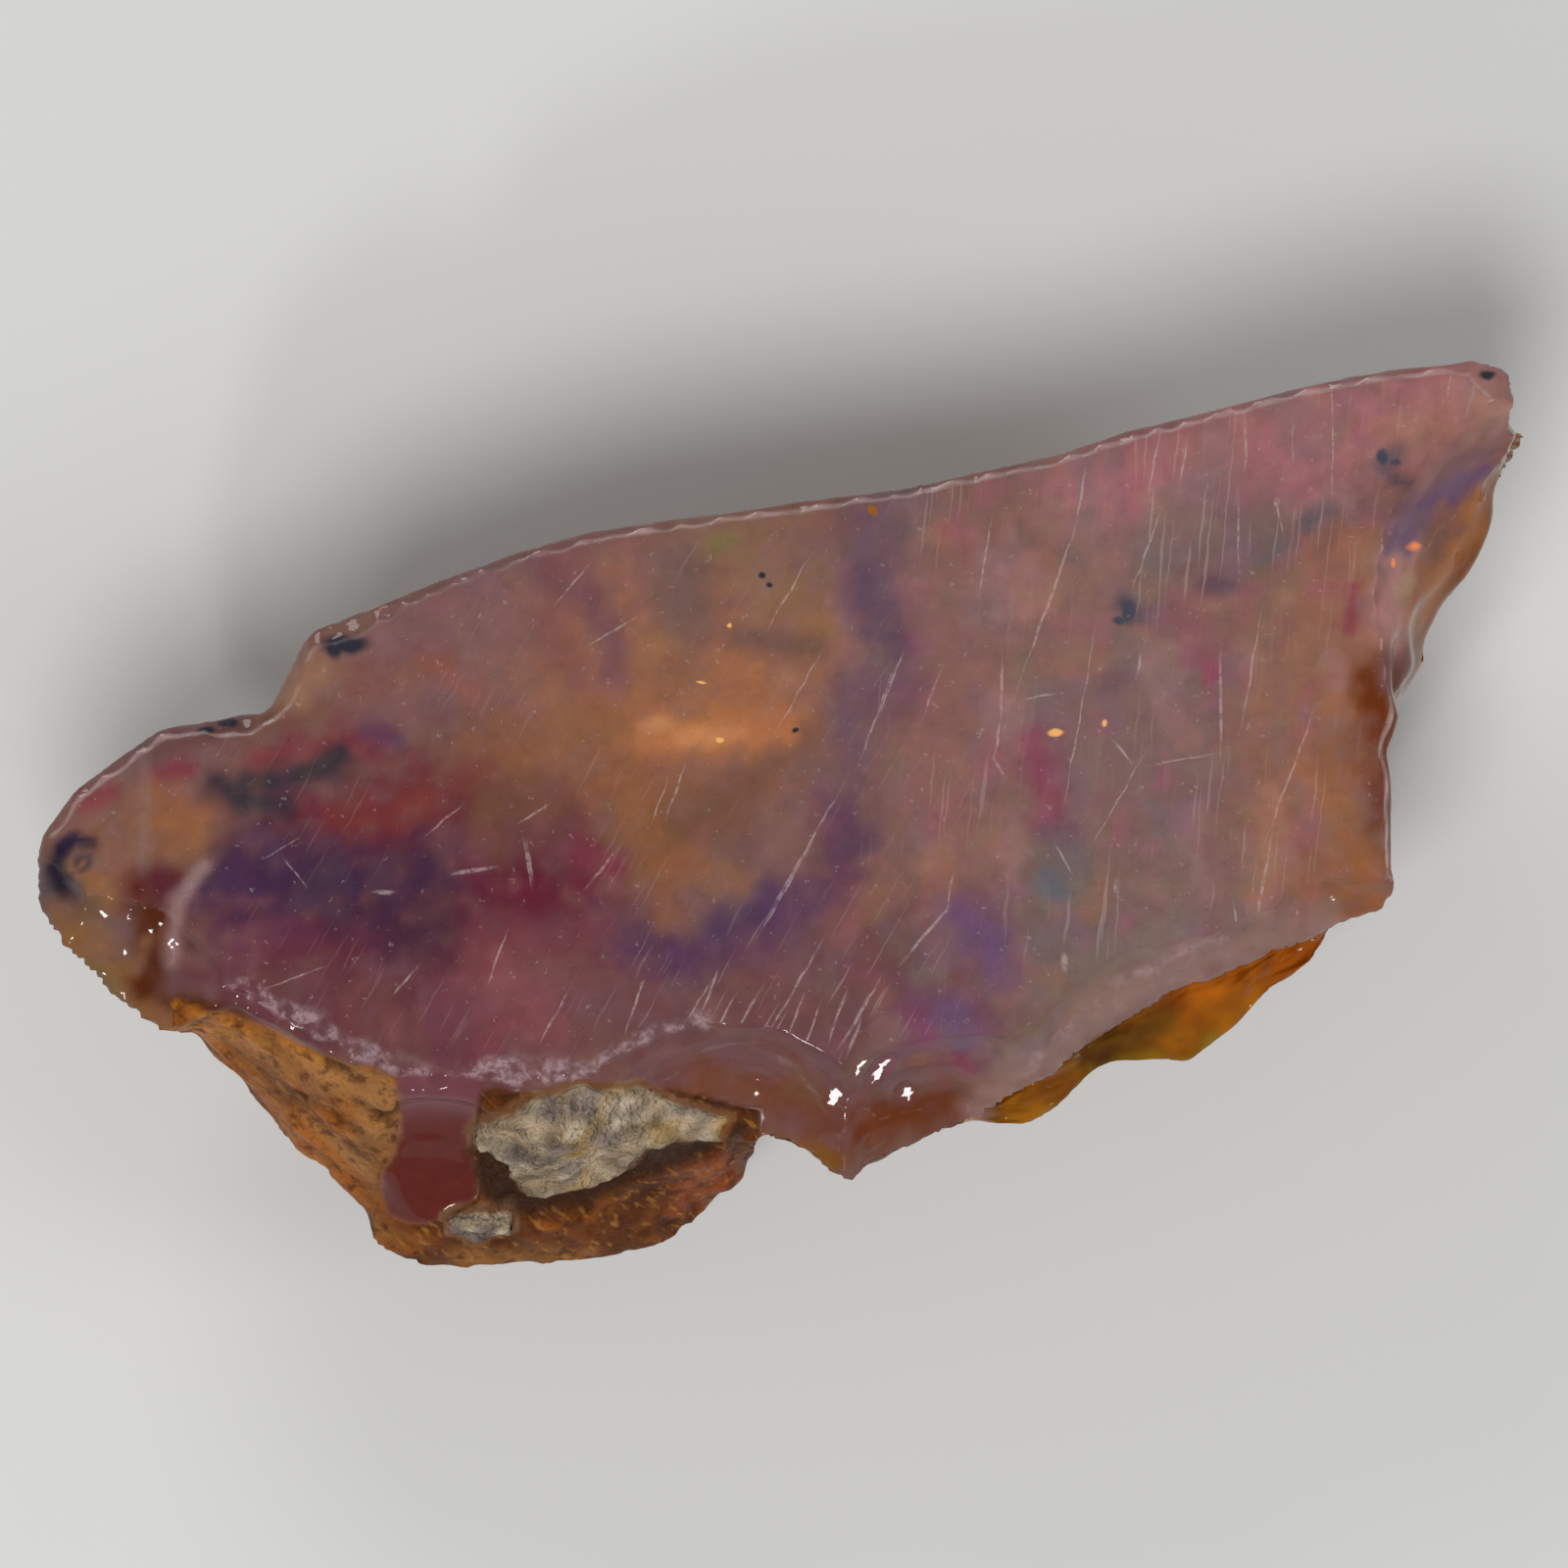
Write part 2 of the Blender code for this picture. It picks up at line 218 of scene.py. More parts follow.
rind_share = ease(-0.1, 0.15, rind) * (1 - crust_share)

# How far each point is from the window's edge, and how much of it is broken and not sawn or resting
rim_gap = np.zeros(len(points))
rim_side = np.zeros((len(points), 3))
for number, point in enumerate(points):
    found, index, gap = rim.find(Vector(point))
    rim_gap[number] = gap
    rim_side[number] = rim_inward[index]
on_window = (below_window < 0.03) & (normals[:, 2] > 0.95)
off_base = ease(0.0, 0.35, points[:, 2] - 0.02)
broken = ease(0.08, 0.5, rim_gap) * (~on_window) * off_base

# The upright walls stand back a little under the sawn edge, so that the edge's own teeth show.
WALL_SETBACK = 0.2
upright = ease(0.75, 0.95, np.hypot(normals[:, 0], normals[:, 1])) * ease(0.25, 0.8, below_window)
points -= normals * (WALL_SETBACK * upright * (1 - rind_share) * (below_window < 4.5))[:, None]

# The bare tongue, the spall at the right end and the shelf are smooth: their corners are rubbed down,
# each point going part of the way to the middle of its neighbours, again and again.
SPALL = [(1500, 560), (1475, 630)]
RUBBING_TURNS = 10
RUBBING = 0.7
ends = np.zeros(len(stone_mesh.edges) * 2, np.int32)
stone_mesh.edges.foreach_get("vertices", ends)
ends = ends.reshape(-1, 2)
beside = np.bincount(ends.ravel(), minlength=len(points))
spall = ease(1.7, 0.9, gap_to(points, SPALL)) * ease(0.02, 0.3, below_window)
rubbed = np.maximum(ease(-0.1, 0.15, tongue) * ease(0.3, 0.6, below_window), spall)
rubbed = np.maximum(rubbed, 0.5 * ease(0.0, 0.3, shelf)) * ease(0.0, 0.4, normals[:, 2])
for turn in range(RUBBING_TURNS):
    around = np.stack([
        np.bincount(ends[:, 0], points[ends[:, 1], n], len(points))
        + np.bincount(ends[:, 1], points[ends[:, 0], n], len(points)) for n in range(3)
    ], axis=1) / beside[:, None]
    points += (around - points) * (RUBBING * rubbed)[:, None]

# Broken opal: crests and shell ripples, fainter on the spall's face. Rind: fibres that run down the slope,
# lumps and pits. Host rock: raised and grainy, with a hollow below it.
SPALL_FACE = [(1500, 560), (1480, 620)]
relief = (0.07 + 0.05 * ease(0.5, -0.2, normals[:, 2])) * (crests(points, 2.6) - 0.5)
relief += 0.018 * ripple(points, 0.5, shift=5.0)
relief *= broken * (1 - rind_share) * (1 - crust_share)
relief *= 1 - 0.8 * ease(0.3, 0.7, normals[:, 2]) * ease(1.6, 0.8, gap_to(points, SPALL_FACE))
relief *= 1 - 0.85 * ease(-0.1, 0.2, tongue)
FIBRE_SLANT = -42
fibre_turn = math.radians(FIBRE_SLANT)
turn_cos, turn_sin = math.cos(fibre_turn), math.sin(fibre_turn)
fibre_frame = np.array([[turn_cos, -turn_sin, 0], [turn_sin, turn_cos, 0], [0, 0, 1]])
fibre = ripple(points @ fibre_frame, 0.28, squeeze=(0.18, 1, 0.6))
lumps = ripple(points, 1.1, shift=1.7)
pits = np.minimum(0, ripple(points, 0.55, shift=6.6) + 0.35)
relief += rind_share * broken * (0.07 * fibre + 0.14 * lumps + 0.3 * pits)
rock_grains = ripple(points, 0.3, shift=9.0)
relief += crust_share * (0.26 + 0.14 * ripple(points, 0.75, shift=4.0) + 0.12 * rock_grains)
relief -= hollow_share * (0.16 + 0.08 * ripple(points, 0.5, shift=7.0))
relief += ease(-0.05, 0.15, shelf) * broken * 0.06 * ripple(points, 0.8, squeeze=(1, 0.5, 1), shift=12.0)
points += normals * relief[:, None]

# The amber shelf steps out below the bevel. Two broad shells with a smaller one below each were struck
# from the lower point: place, direction of the blow, radius and depth.
SHELF_START = (980, 1030)
SHELF_DROP = 1.7
SHELF_FALL = 0.45
ledge = window_height - SHELF_DROP - SHELF_FALL * shelf + 0.16 * ripple(points, 0.8, shift=14.0)
ledge += 0.07 * ripple(points, 0.3, shift=15.0)
on_shelf = ease(-0.02, 0.1, shelf) * ease(-0.35, 0.1, normals[:, 2]) * ease(2.4, 3.2, points[:, 2])
on_shelf *= ease(*[spot(across, 0)[0] for across in SHELF_START], points[:, 0])
points[:, 2] += on_shelf * np.maximum(0, ledge - points[:, 2])
LOWER_SHELLS = [
    (765, 1128, (-0.16, -0.5, 0.85), 3.4, 0.22), (838, 1172, (-0.3, -0.62, 0.7), 1.6, 0.12),
    (935, 1138, (0.2, -0.5, 0.84), 2.6, 0.16), (905, 1176, (0.3, -0.6, 0.72), 1.4, 0.1),
]
PASSED_OVER = 50
for across, down, blow, radius, depth in LOWER_SHELLS:
    away = np.linalg.norm(points[:, :2] - spot(across, down), axis=1) + PASSED_OVER * (normals[:, 2] < 0.2)
    strike(points, points[away.argmin()], blow, radius, depth)

# Small chips off the shelf's thin outer edge, all struck from the same side
SHELF_CHIPS = [
    (1156, 1100), (1182, 1102), (1246, 1078), (1262, 1062),
    (1282, 1042), (1300, 1026), (1318, 1008), (1334, 988),
]
SHELF_CHIP_HEIGHT = 4.9
SHELF_CHIP_BLOW = (0.5, -0.8, 0.35)
for across, down in SHELF_CHIPS:
    place = (*spot(across, down), SHELF_CHIP_HEIGHT)
    strike(points, place, SHELF_CHIP_BLOW, 0.35 + 0.1 * math.sin(across), 0.08)

# Teeth along the sawn edge, larger and rarer on the chipped bevels. Each row says the least and most of
# their spacing, their radius and their depth.
SAWN_TEETH = ((0.25, 0.8), (0.3, 0.9), (0.02, 0.08))
BEVEL_TEETH = ((0.9, 2.2), (0.8, 1.6), (0.02, 0.05))
pick = random.Random(11)
bearings = [math.atan2(point.y, point.x) for point in rim_points]
order = sorted(range(len(rim_points)), key=bearings.__getitem__)
count_down = 0.0
last = rim_points[order[0]]
for number in order:
    place = rim_points[number]
    count_down -= (place - last).length
    last = place
    if count_down > 0:
        continue
    side = rim_inward[number]
    teeth = BEVEL_TEETH if place.y < -1 and place.x > -2 else SAWN_TEETH
    count_down, radius, depth = [pick.uniform(*span) for span in teeth]
    blow = Vector((-side.x, -side.y, pick.uniform(0.45, 1.3)))
    strike(points, place + Vector((0, 0, -0.02)), blow, radius, depth)

# Crushed opal along the lower edge, and two scuffed stretches: the shelf's bevel and above the tongue
SCUFFED_BEVEL = [(1044, 1100), (1092, 1047), (1140, 1005), (1190, 978), (1252, 956)]
SCUFFED_CORNER = [(520, 1090), (580, 1096)]
crush_line = ease(-10.4, -9.4, points[:, 0]) * (1 - ease(-1.6, -0.9, points[:, 0])) * (points[:, 1] < -2.8)
crushed = crush_line * ease(0.42, 0.02, rim_gap + 0.2 * ripple(points, 0.9, shift=61.0))
scuffed = np.minimum(gap_to(points, SCUFFED_BEVEL), gap_to(points, SCUFFED_CORNER) - 0.12)
scuffed = ease(0.3, 0.0, scuffed + 0.2 * ripple(points, 0.5, shift=64.0)) * (below_window < 2)
points[:, 2] -= crushed * np.maximum(0, 0.11 + 0.16 * ripple(points, 0.3, shift=11.0))

# Tiny flat breaks, tilted so that they catch the front light: place, half length, half width and slant
GLINT_TILT = np.array((-0.186, -0.408, 0.894))
GLINTS = [
    (160, 914, 9, 5, 80), (194, 907, 8, 5, 70), (853, 1118, 16, 11, 60), (879, 1084, 27, 9, 58),
    (898, 1093, 23, 9, 52), (926, 1118, 13, 11, 20), (772, 1101, 7, 6, 0), (772, 1115, 7, 6, 0),
    (890, 1166, 7, 6, 0), (1503, 497, 8, 6, 80), (1513, 502, 6, 6, 80), (1494, 567, 6, 6, 0),
    (800, 1162, 7, 5, 140), (811, 1172, 6, 5, 140), (144, 1005, 6, 5, 0), (1342, 420, 6, 6, 0),
    (1256, 418, 6, 5, 80), (1192, 978, 6, 5, 60), (1216, 972, 6, 5, 60), (976, 1121, 6, 5, 60),
    (988, 1128, 6, 5, 60),
]
upward = normals[:, 2] > 0.2
for across, down, half_length, half_width, slant in GLINTS:
    away = points[:, :2] - spot(across, down)
    place = points[(np.linalg.norm(away, axis=1) + PASSED_OVER * ~upward).argmin()]
    turn = math.radians(slant)
    along = (away @ (math.cos(turn), math.sin(turn))) / (half_length * PICTURE_STEP)
    aside = (away @ (-math.sin(turn), math.cos(turn))) / (half_width * PICTURE_STEP)
    near = (np.hypot(along, aside) < 1.25) & upward & (abs(points[:, 2] - place[2]) < 0.6)
    rise = (points[near] - place) @ GLINT_TILT + 0.2 * half_width * PICTURE_STEP
    points[near] -= GLINT_TILT * (rise * ease(1.25, 0.95, np.hypot(along, aside)[near]))[:, None]
points[:, 2] = np.minimum(points[:, 2], window_height)

stone_mesh.vertices.foreach_set("co", (points * MM).astype(np.float32).ravel())
stone_mesh.update()
stone_mesh.shade_smooth()

# The play of colour is laid in from the widest clouds to the smallest flashes: tint, strength, half the
# width in steps of the picture, and the path that the cloud or streak follows.
CRIMSON = (0.105, 0.022, 0.034)
PLUM = (0.115, 0.04, 0.05)
VIOLET = (0.095, 0.046, 0.08)
INDIGO = (0.056, 0.03, 0.058)
BLUE_GREY = (0.14, 0.08, 0.095)
GREY = (0.2, 0.125, 0.108)
MAUVE = (0.19, 0.103, 0.098)
ROSE = (0.37, 0.155, 0.155)
TAN = (0.28, 0.115, 0.05)
HONEY = (0.29, 0.13, 0.063)
ORANGE = (0.25, 0.11, 0.052)
OLIVE = (0.14, 0.068, 0.04)
SMOKE = (0.042, 0.038, 0.046)
INK = (0.022, 0.02, 0.032)
CLOUDS = [
    # the four broad fields: grey right, rose top right, tan right end, crimson left
    (GREY, 0.8, 260, [(1120, 620), (1180, 930)]),
    ((0.235, 0.12, 0.097), 0.75, 120, [(980, 560), (970, 860)]),
    (MAUVE, 0.85, 120, [(400, 690), (580, 610)]),
    (ROSE, 0.75, 100, [(1130, 500), (1500, 400)]),
    ((0.25, 0.135, 0.1), 0.6, 60, [(1120, 560), (1100, 660)]),
    ((0.27, 0.13, 0.09), 0.6, 50, [(1240, 610), (1210, 660)]),
    ((0.16, 0.125, 0.11), 0.6, 40, [(1190, 520), (1250, 490)]),
    ((0.3, 0.15, 0.1), 0.7, 40, [(1430, 440), (1500, 430)]),
    ((0.3, 0.13, 0.16), 0.6, 26, [(1340, 430), (1400, 420)]),
    ((0.26, 0.105, 0.13), 0.5, 20, [(1180, 440), (1190, 490)]),
    ((0.28, 0.128, 0.08), 0.8, 110, [(1350, 600), (1350, 700)]),
    (TAN, 0.85, 120, [(1350, 780), (1370, 880)]),
    ((0.24, 0.13, 0.09), 0.6, 90, [(1290, 700), (1290, 880)]),
    (CRIMSON, 0.97, 190, [(300, 960), (340, 870), (540, 890), (520, 1000)]),
    (PLUM, 0.8, 130, [(300, 1010), (440, 1050)]),
    ((0.21, 0.082, 0.078), 0.8, 100, [(520, 1010), (620, 1040)]),
    ((0.13, 0.062, 0.06), 0.85, 130, [(640, 1040), (880, 1050)]),
    ((0.135, 0.06, 0.06), 0.6, 90, [(780, 1000), (960, 960)]),
    # the honey glow and what floats in it
    (HONEY, 0.97, 200, [(650, 700), (760, 690)]),
    ((0.23, 0.1, 0.046), 0.9, 80, [(640, 790), (680, 880)]),
    ((0.23, 0.105, 0.05), 0.75, 60, [(520, 775), (620, 735)]),
    ((0.21, 0.13, 0.07), 0.7, 70, [(760, 560), (810, 610)]),
    ((0.145, 0.095, 0.08), 0.8, 55, [(690, 585), (705, 640)]),
    ((0.13, 0.08, 0.062), 0.8, 24, [(752, 650), (835, 662)]),
    ((0.15, 0.078, 0.046), 0.85, 55, [(700, 845), (745, 825)]),
    ((0.16, 0.082, 0.05), 0.75, 34, [(765, 795), (822, 762)]),
    ((0.17, 0.1, 0.062), 0.6, 30, [(672, 692), (700, 684)]),
    (ORANGE, 0.6, 26, [(700, 880), (760, 900)]),
    ((0.37, 0.15, 0.06), 0.95, 44, [(660, 757), (785, 744)]),
    ((0.5, 0.22, 0.09), 0.8, 20, [(695, 754), (750, 748)]),
    ((0.48, 0.24, 0.1), 0.7, 14, [(655, 742), (682, 738)]),
    # the violet and blue bands between the fields
    ((0.13, 0.062, 0.08), 0.7, 32, [(556, 585), (600, 612), (624, 650), (630, 690)]),
    ((0.17, 0.075, 0.07), 0.6, 40, [(580, 560), (560, 640), (590, 690)]),
    (BLUE_GREY, 0.95, 62, [(893, 500), (888, 620), (905, 690)]),
    ((0.1, 0.065, 0.095), 0.6, 36, [(878, 595), (906, 650)]),
    (BLUE_GREY, 0.9, 52, [(880, 700), (862, 800), (850, 860)]),
    (VIOLET, 0.85, 60, [(640, 960), (700, 972), (775, 945), (838, 900), (862, 856)]),
    ((0.07, 0.042, 0.09), 0.7, 34, [(735, 944), (792, 918)]),
    ((0.072, 0.036, 0.075), 0.7, 30, [(645, 948), (690, 972)]),
    ((0.17, 0.04, 0.06), 0.7, 28, [(588, 868), (622, 884)]),
    # the indigo pool and smoky bar of the left end
    (INDIGO, 0.97, 84, [(228, 893), (330, 892), (425, 900)]),
    ((0.06, 0.028, 0.045), 0.8, 60, [(395, 930), (440, 950)]),
    ((0.16, 0.034, 0.035), 0.8, 44, [(338, 832), (425, 812)]),
    ((0.15, 0.035, 0.042), 0.7, 40, [(480, 800), (520, 840)]),
    (OLIVE, 0.85, 66, [(505, 832), (545, 822)]),
    ((0.19, 0.085, 0.06), 0.7, 44, [(355, 690), (440, 680)]),
    ((0.24, 0.09, 0.06), 0.7, 30, [(446, 680), (486, 706)]),
    ((0.17, 0.04, 0.05), 0.8, 30, [(268, 778), (350, 752), (384, 756)]),
    ((0.15, 0.065, 0.045), 0.7, 24, [(270, 735), (330, 720)]),
    ((0.095, 0.05, 0.085), 0.7, 22, [(378, 745), (404, 757)]),
    (SMOKE, 0.97, 27, [(218, 804), (285, 797), (343, 777)]),
    (SMOKE, 0.9, 24, [(222, 815), (290, 822)]),
    ((0.18, 0.04, 0.052), 0.85, 24, [(156, 792), (186, 784)]),
    ((0.2, 0.05, 0.052), 0.8, 20, [(84, 820), (114, 808)]),
    ((0.12, 0.05, 0.04), 0.7, 20, [(150, 770), (240, 742)]),
    (ORANGE, 0.95, 56, [(166, 836), (192, 848)]),
    ((0.22, 0.1, 0.056), 0.8, 50, [(90, 850), (120, 900)]),
    ((0.2, 0.15, 0.13), 0.45, 10, [(148, 770), (146, 900)]),
    ((0.1, 0.075, 0.07), 0.97, 50, [(44, 910), (88, 936)]),
    ((0.12, 0.1, 0.09), 0.8, 26, [(70, 872), (86, 880)]),
    ((0.26, 0.12, 0.05), 0.85, 24, [(80, 880), (112, 918)]),
    (INK, 0.95, 13, [(94, 860), (76, 856), (61, 866)]),
    (INK, 0.98, 18, [(61, 868), (54, 888), (66, 914)]),
    (SMOKE, 0.85, 8, [(78, 880), (82, 871), (92, 874), (91, 884), (82, 888)]),
    ((0.22, 0.11, 0.04), 0.95, 60, [(70, 965), (150, 1032)]),
    ((0.17, 0.12, 0.05), 0.7, 20, [(96, 990), (112, 1010)]),
    ((0.09, 0.022, 0.022), 0.97, 34, [(140, 905), (168, 900)]),
    ((0.085, 0.027, 0.014), 0.97, 30, [(158, 930), (148, 1010)]),
    ((0.22, 0.11, 0.06), 0.6, 12, [(136, 990), (150, 960)]),
    ((0.09, 0.032, 0.014), 0.95, 18, [(168, 1020), (244, 1034)]),
    ((0.26, 0.145, 0.085), 0.95, 34, [(296, 710), (322, 684)]),
    # a painted highlight: the pale line down the left step's edge
    ((0.3, 0.2, 0.18), 0.7, 14, [(208, 884), (182, 918), (174, 980)]),
    # flashes and stains of the right half
    ((0.21, 0.062, 0.09), 0.85, 40, [(1058, 760), (1075, 840)]),
    ((0.13, 0.08, 0.12), 0.6, 30, [(1080, 850), (1100, 900)]),
    ((0.14, 0.08, 0.13), 0.7, 50, [(976, 930), (1006, 958), (1030, 1000)]),
    ((0.125, 0.077, 0.145), 0.75, 28, [(976, 932), (1004, 958), (1026, 996)]),
    ((0.135, 0.084, 0.145), 0.6, 22, [(1016, 956), (1030, 990)]),
    ((0.14, 0.06, 0.11), 0.8, 50, [(940, 1046), (990, 1050)]),
    ((0.13, 0.08, 0.135), 0.7, 30, [(968, 1030), (980, 1062)]),
    ((0.19, 0.055, 0.1), 0.7, 18, [(930, 1036), (940, 1058)]),
    ((0.21, 0.05, 0.09), 0.7, 14, [(982, 1084), (990, 1092)]),
    ((0.135, 0.12, 0.1), 0.6, 70, [(1085, 900), (1110, 990)]),
    ((0.1, 0.12, 0.14), 0.7, 22, [(1068, 896), (1080, 910)]),
    ((0.18, 0.14, 0.11), 0.7, 60, [(1100, 1010), (1200, 960)]),
    ((0.15, 0.13, 0.08), 0.5, 36, [(1030, 1080), (1060, 1060)]),
    ((0.27, 0.06, 0.095), 0.85, 26, [(1222, 678), (1236, 690)]),
    ((0.2, 0.085, 0.1), 0.6, 40, [(1200, 620), (1230, 660)]),
    ((0.1, 0.055, 0.085), 0.85, 20, [(1230, 596), (1252, 597)]),
    ((0.115, 0.105, 0.1), 0.8, 26, [(1284, 570), (1308, 556)]),
    ((0.09, 0.078, 0.085), 0.85, 20, [(1330, 534), (1354, 520)]),
    ((0.13, 0.08, 0.1), 0.7, 24, [(1128, 700), (1148, 690)]),
    ((0.16, 0.12, 0.11), 0.6, 60, [(1180, 560), (1290, 540)]),
    ((0.05, 0.05, 0.075), 0.9, 20, [(1148, 615), (1160, 628)]),
    ((0.1, 0.08, 0.095), 0.8, 20, [(1412, 476), (1426, 460)]),
    ((0.08, 0.06, 0.07), 0.8, 14, [(1424, 490), (1434, 492)]),
    ((0.25, 0.1, 0.04), 0.7, 50, [(1370, 780), (1390, 910)]),
    ((0.33, 0.17, 0.1), 0.6, 30, [(1300, 820), (1290, 930)]),
    ((0.13, 0.035, 0.008), 0.97, 46, [(1404, 700), (1414, 770), (1416, 850)]),
    ((0.2, 0.05, 0.065), 0.85, 14, [(1380, 600), (1378, 640)]),
    ((0.44, 0.225, 0.19), 0.95, 38, [(1430, 560), (1418, 640)]),
    ((0.31, 0.25, 0.12), 0.5, 14, [(1438, 590), (1434, 612)]),
    ((0.34, 0.145, 0.05), 0.97, 44, [(1516, 510), (1490, 570), (1462, 620)]),
    ((0.15, 0.045, 0.01), 0.95, 22, [(1552, 440), (1545, 500), (1465, 660), (1448, 710)]),
    ((0.135, 0.08, 0.14), 0.95, 26, [(1428, 552), (1450, 520), (1482, 494), (1510, 480)]),
    ((0.34, 0.19, 0.14), 0.8, 40, [(1510, 400), (1545, 420)]),
    ((0.17, 0.16, 0.05), 0.7, 20, [(728, 558), (742, 552)]),
    # facets of the lower point, and the pale bevel that runs from it up to the right corner
    ((0.165, 0.065, 0.035), 0.97, 60, [(720, 1105), (790, 1110), (830, 1150)]),
    ((0.2, 0.088, 0.012), 0.9, 20, [(716, 1146), (776, 1166), (850, 1184)]),
    ((0.13, 0.04, 0.015), 0.95, 60, [(890, 1150), (960, 1134)]),
    ((0.25, 0.165, 0.135), 0.85, 42, [(1010, 1126), (1090, 1062), (1160, 1008), (1260, 968), (1350, 944)]),
]

# Wide clouds stray far from their paths, streaks fray a little, and the finest keep crisp edges.
STRAY = 0.42
FRAY = 0.17
CRISP = 0.3
WIDEST_STREAK = 42
WIDEST_CRISP = 24
WIDEST_FLASH = 60
strayed = points + STRAY * np.stack([ripple(points, 1.3, shift=21.0 + 7 * n) for n in range(3)], axis=1)
frayed = points + FRAY * np.stack([ripple(points, 0.45, shift=51.0 + 7 * n) for n in range(3)], axis=1)
strayed += frayed - points
crisp = points + CRISP * (frayed - points)
cloudy = 0.5 * ripple(points, 1.6, shift=31.0) + 0.3 * ripple(points, 0.7, shift=35.0)
flecked = ripple(points, 0.33, shift=41.0)
MILKY = (0.17, 0.095, 0.078)
MILKY_SWAY = (0.04, 0.012, -0.012)
body = MILKY + cloudy[:, None] * np.array(MILKY_SWAY)
shown = np.maximum(ease(0.0, 0.3, normals[:, 2]), ease(1.1, 0.3, below_window))


def lay(tint, share, base):
    """Lays a tint over these colours, by its share at each point."""
    base += (np.array(tint) - base) * share[:, None]


named = np.zeros(len(points))
for tint, strength, half_width, path in CLOUDS:
    drawn = strayed if half_width > WIDEST_STREAK else frayed if half_width > WIDEST_CRISP else crisp
    gap = gap_to(drawn, path) / (half_width * PICTURE_STEP)
    share = strength * ease(0, 1, (1 - gap) * (1 + 0.5 * flecked))
    if half_width <= WIDEST_FLASH:
        share *= shown
        named = np.maximum(named, share)
    else:
        share *= 0.35 + 0.65 * shown
    lay(tint, share, body)

# Flecks of pale colour between the clouds, most of them in the grey right half
FLECKS = [
    (0.3, 0.09, 0.13), (0.19, 0.16, 0.1), (0.16, 0.11, 0.15),
    (0.34, 0.15, 0.07), (0.13, 0.13, 0.14), (0.34, 0.19, 0.17),
]
fleck_room = (0.06 + 0.26 * ease(-1.0, 4.0, points[:, 0])) * shown * (below_window < 0.5) * (1 - 0.85 * named)
for number, tint in enumerate(FLECKS):
    patches = ripple(frayed, 0.5 + 0.1 * number, squeeze=(1, 0.8, 1), shift=101.0 + 6 * number)
    lay(tint, ease(0.15, 0.55, patches) * fleck_room, body)

# Faint cells of fire in every colour, strongest where the stone is clear. A cell's own hue picks its tint.
FIRE_CELL = 0.9
FIRE_TINTS = [
    (0.2, 0.03, 0.06), (0.22, 0.1, 0.02), (0.1, 0.13, 0.06), (0.05, 0.08, 0.14), (0.12, 0.05, 0.15),
]
fire = np.zeros_like(body)
for number, point in enumerate(strayed):
    gaps, centres = noise.voronoi(Vector(point) / FIRE_CELL)
    hue = int(abs(noise.cell(centres[0] * 5.3)) * 997)
    inner = min(1.0, (gaps[1] - gaps[0]) * 4)
    fire[number] = np.array(FIRE_TINTS[hue % len(FIRE_TINTS)]) * inner

# Clear amber opal lies under the milky skin, on the flanks and on the shelf.
AMBER = (0.2, 0.062, 0.006)
PALE_AMBER = (0.29, 0.125, 0.02)
DARK_AMBER = (0.09, 0.028, 0.003)
clear = ease(1.0, 2.8, below_window + 0.5 * cloudy) * ease(0.85, 0.5, normals[:, 2]) * (tongue < -0.1)
clear = np.maximum(clear, ease(-0.02, 0.04, shelf + wiggle * 0.5))
amber = np.tile(AMBER, (len(points), 1))
lay(PALE_AMBER, ease(-0.1, 0.5, cloudy), amber)
lay(DARK_AMBER, ease(-0.1, -0.5, cloudy), amber)
SHELF_STREAKS = [
    ((0.28, 0.08, 0.002), 0.9, 50, [(1180, 1040), (1300, 985), (1350, 965)]),
    ((0.13, 0.07, 0.006), 0.85, 34, [(1100, 1086), (1190, 1046)]),
    ((0.055, 0.018, 0.002), 0.9, 20, [(1112, 1084), (1160, 1082)]),
    ((0.2, 0.075, 0.006), 0.9, 34, [(1020, 1140), (1090, 1110)]),
    ((0.24, 0.17, 0.03), 0.85, 22, [(1180, 1094), (1216, 1090), (1240, 1070)]),
    ((0.2, 0.13, 0.012), 0.7, 14, [(1120, 1092), (1176, 1078)]),
    ((0.26, 0.12, 0.02), 0.7, 16, [(1004, 1152), (1050, 1152), (1090, 1130)]),
]
for tint, strength, half_width, path in SHELF_STREAKS:
    share = strength * ease(0, 1, 1 - gap_to(frayed, path) / (half_width * PICTURE_STEP))
    lay(tint, share * (shelf > -0.1) * ease(0.7, 0.2, ledge - points[:, 2]), amber)
amber *= (1 + 0.45 * ripple(frayed, 0.4, shift=17.0) + 0.3 * cloudy)[:, None]
body += clear[:, None] * (amber - body)
body += fire * (0.07 + 0.05 * clear * (shelf < 0))[:, None]

# The satin window adds a pale veil of its own, so the opal under it is that much darker.
VEIL = 0.012
VEIL_SHADE = (0.95, 0.9, 0.95)
DARKEST = 0.003
body = np.maximum(body * VEIL_SHADE - VEIL, DARKEST)

# The bare tongue is dark red, and rosier at its top.
TONGUE_RED = (0.1, 0.016, 0.012)
TONGUE_ROSE = (0.14, 0.045, 0.055)
lay(TONGUE_RED, ease(-0.06, 0.06, tongue) * (shelf < 0), body)
lay(TONGUE_ROSE, ease(-0.1, 0.1, tongue) * ease(-5.6, -4.9, points[:, 1]), body)

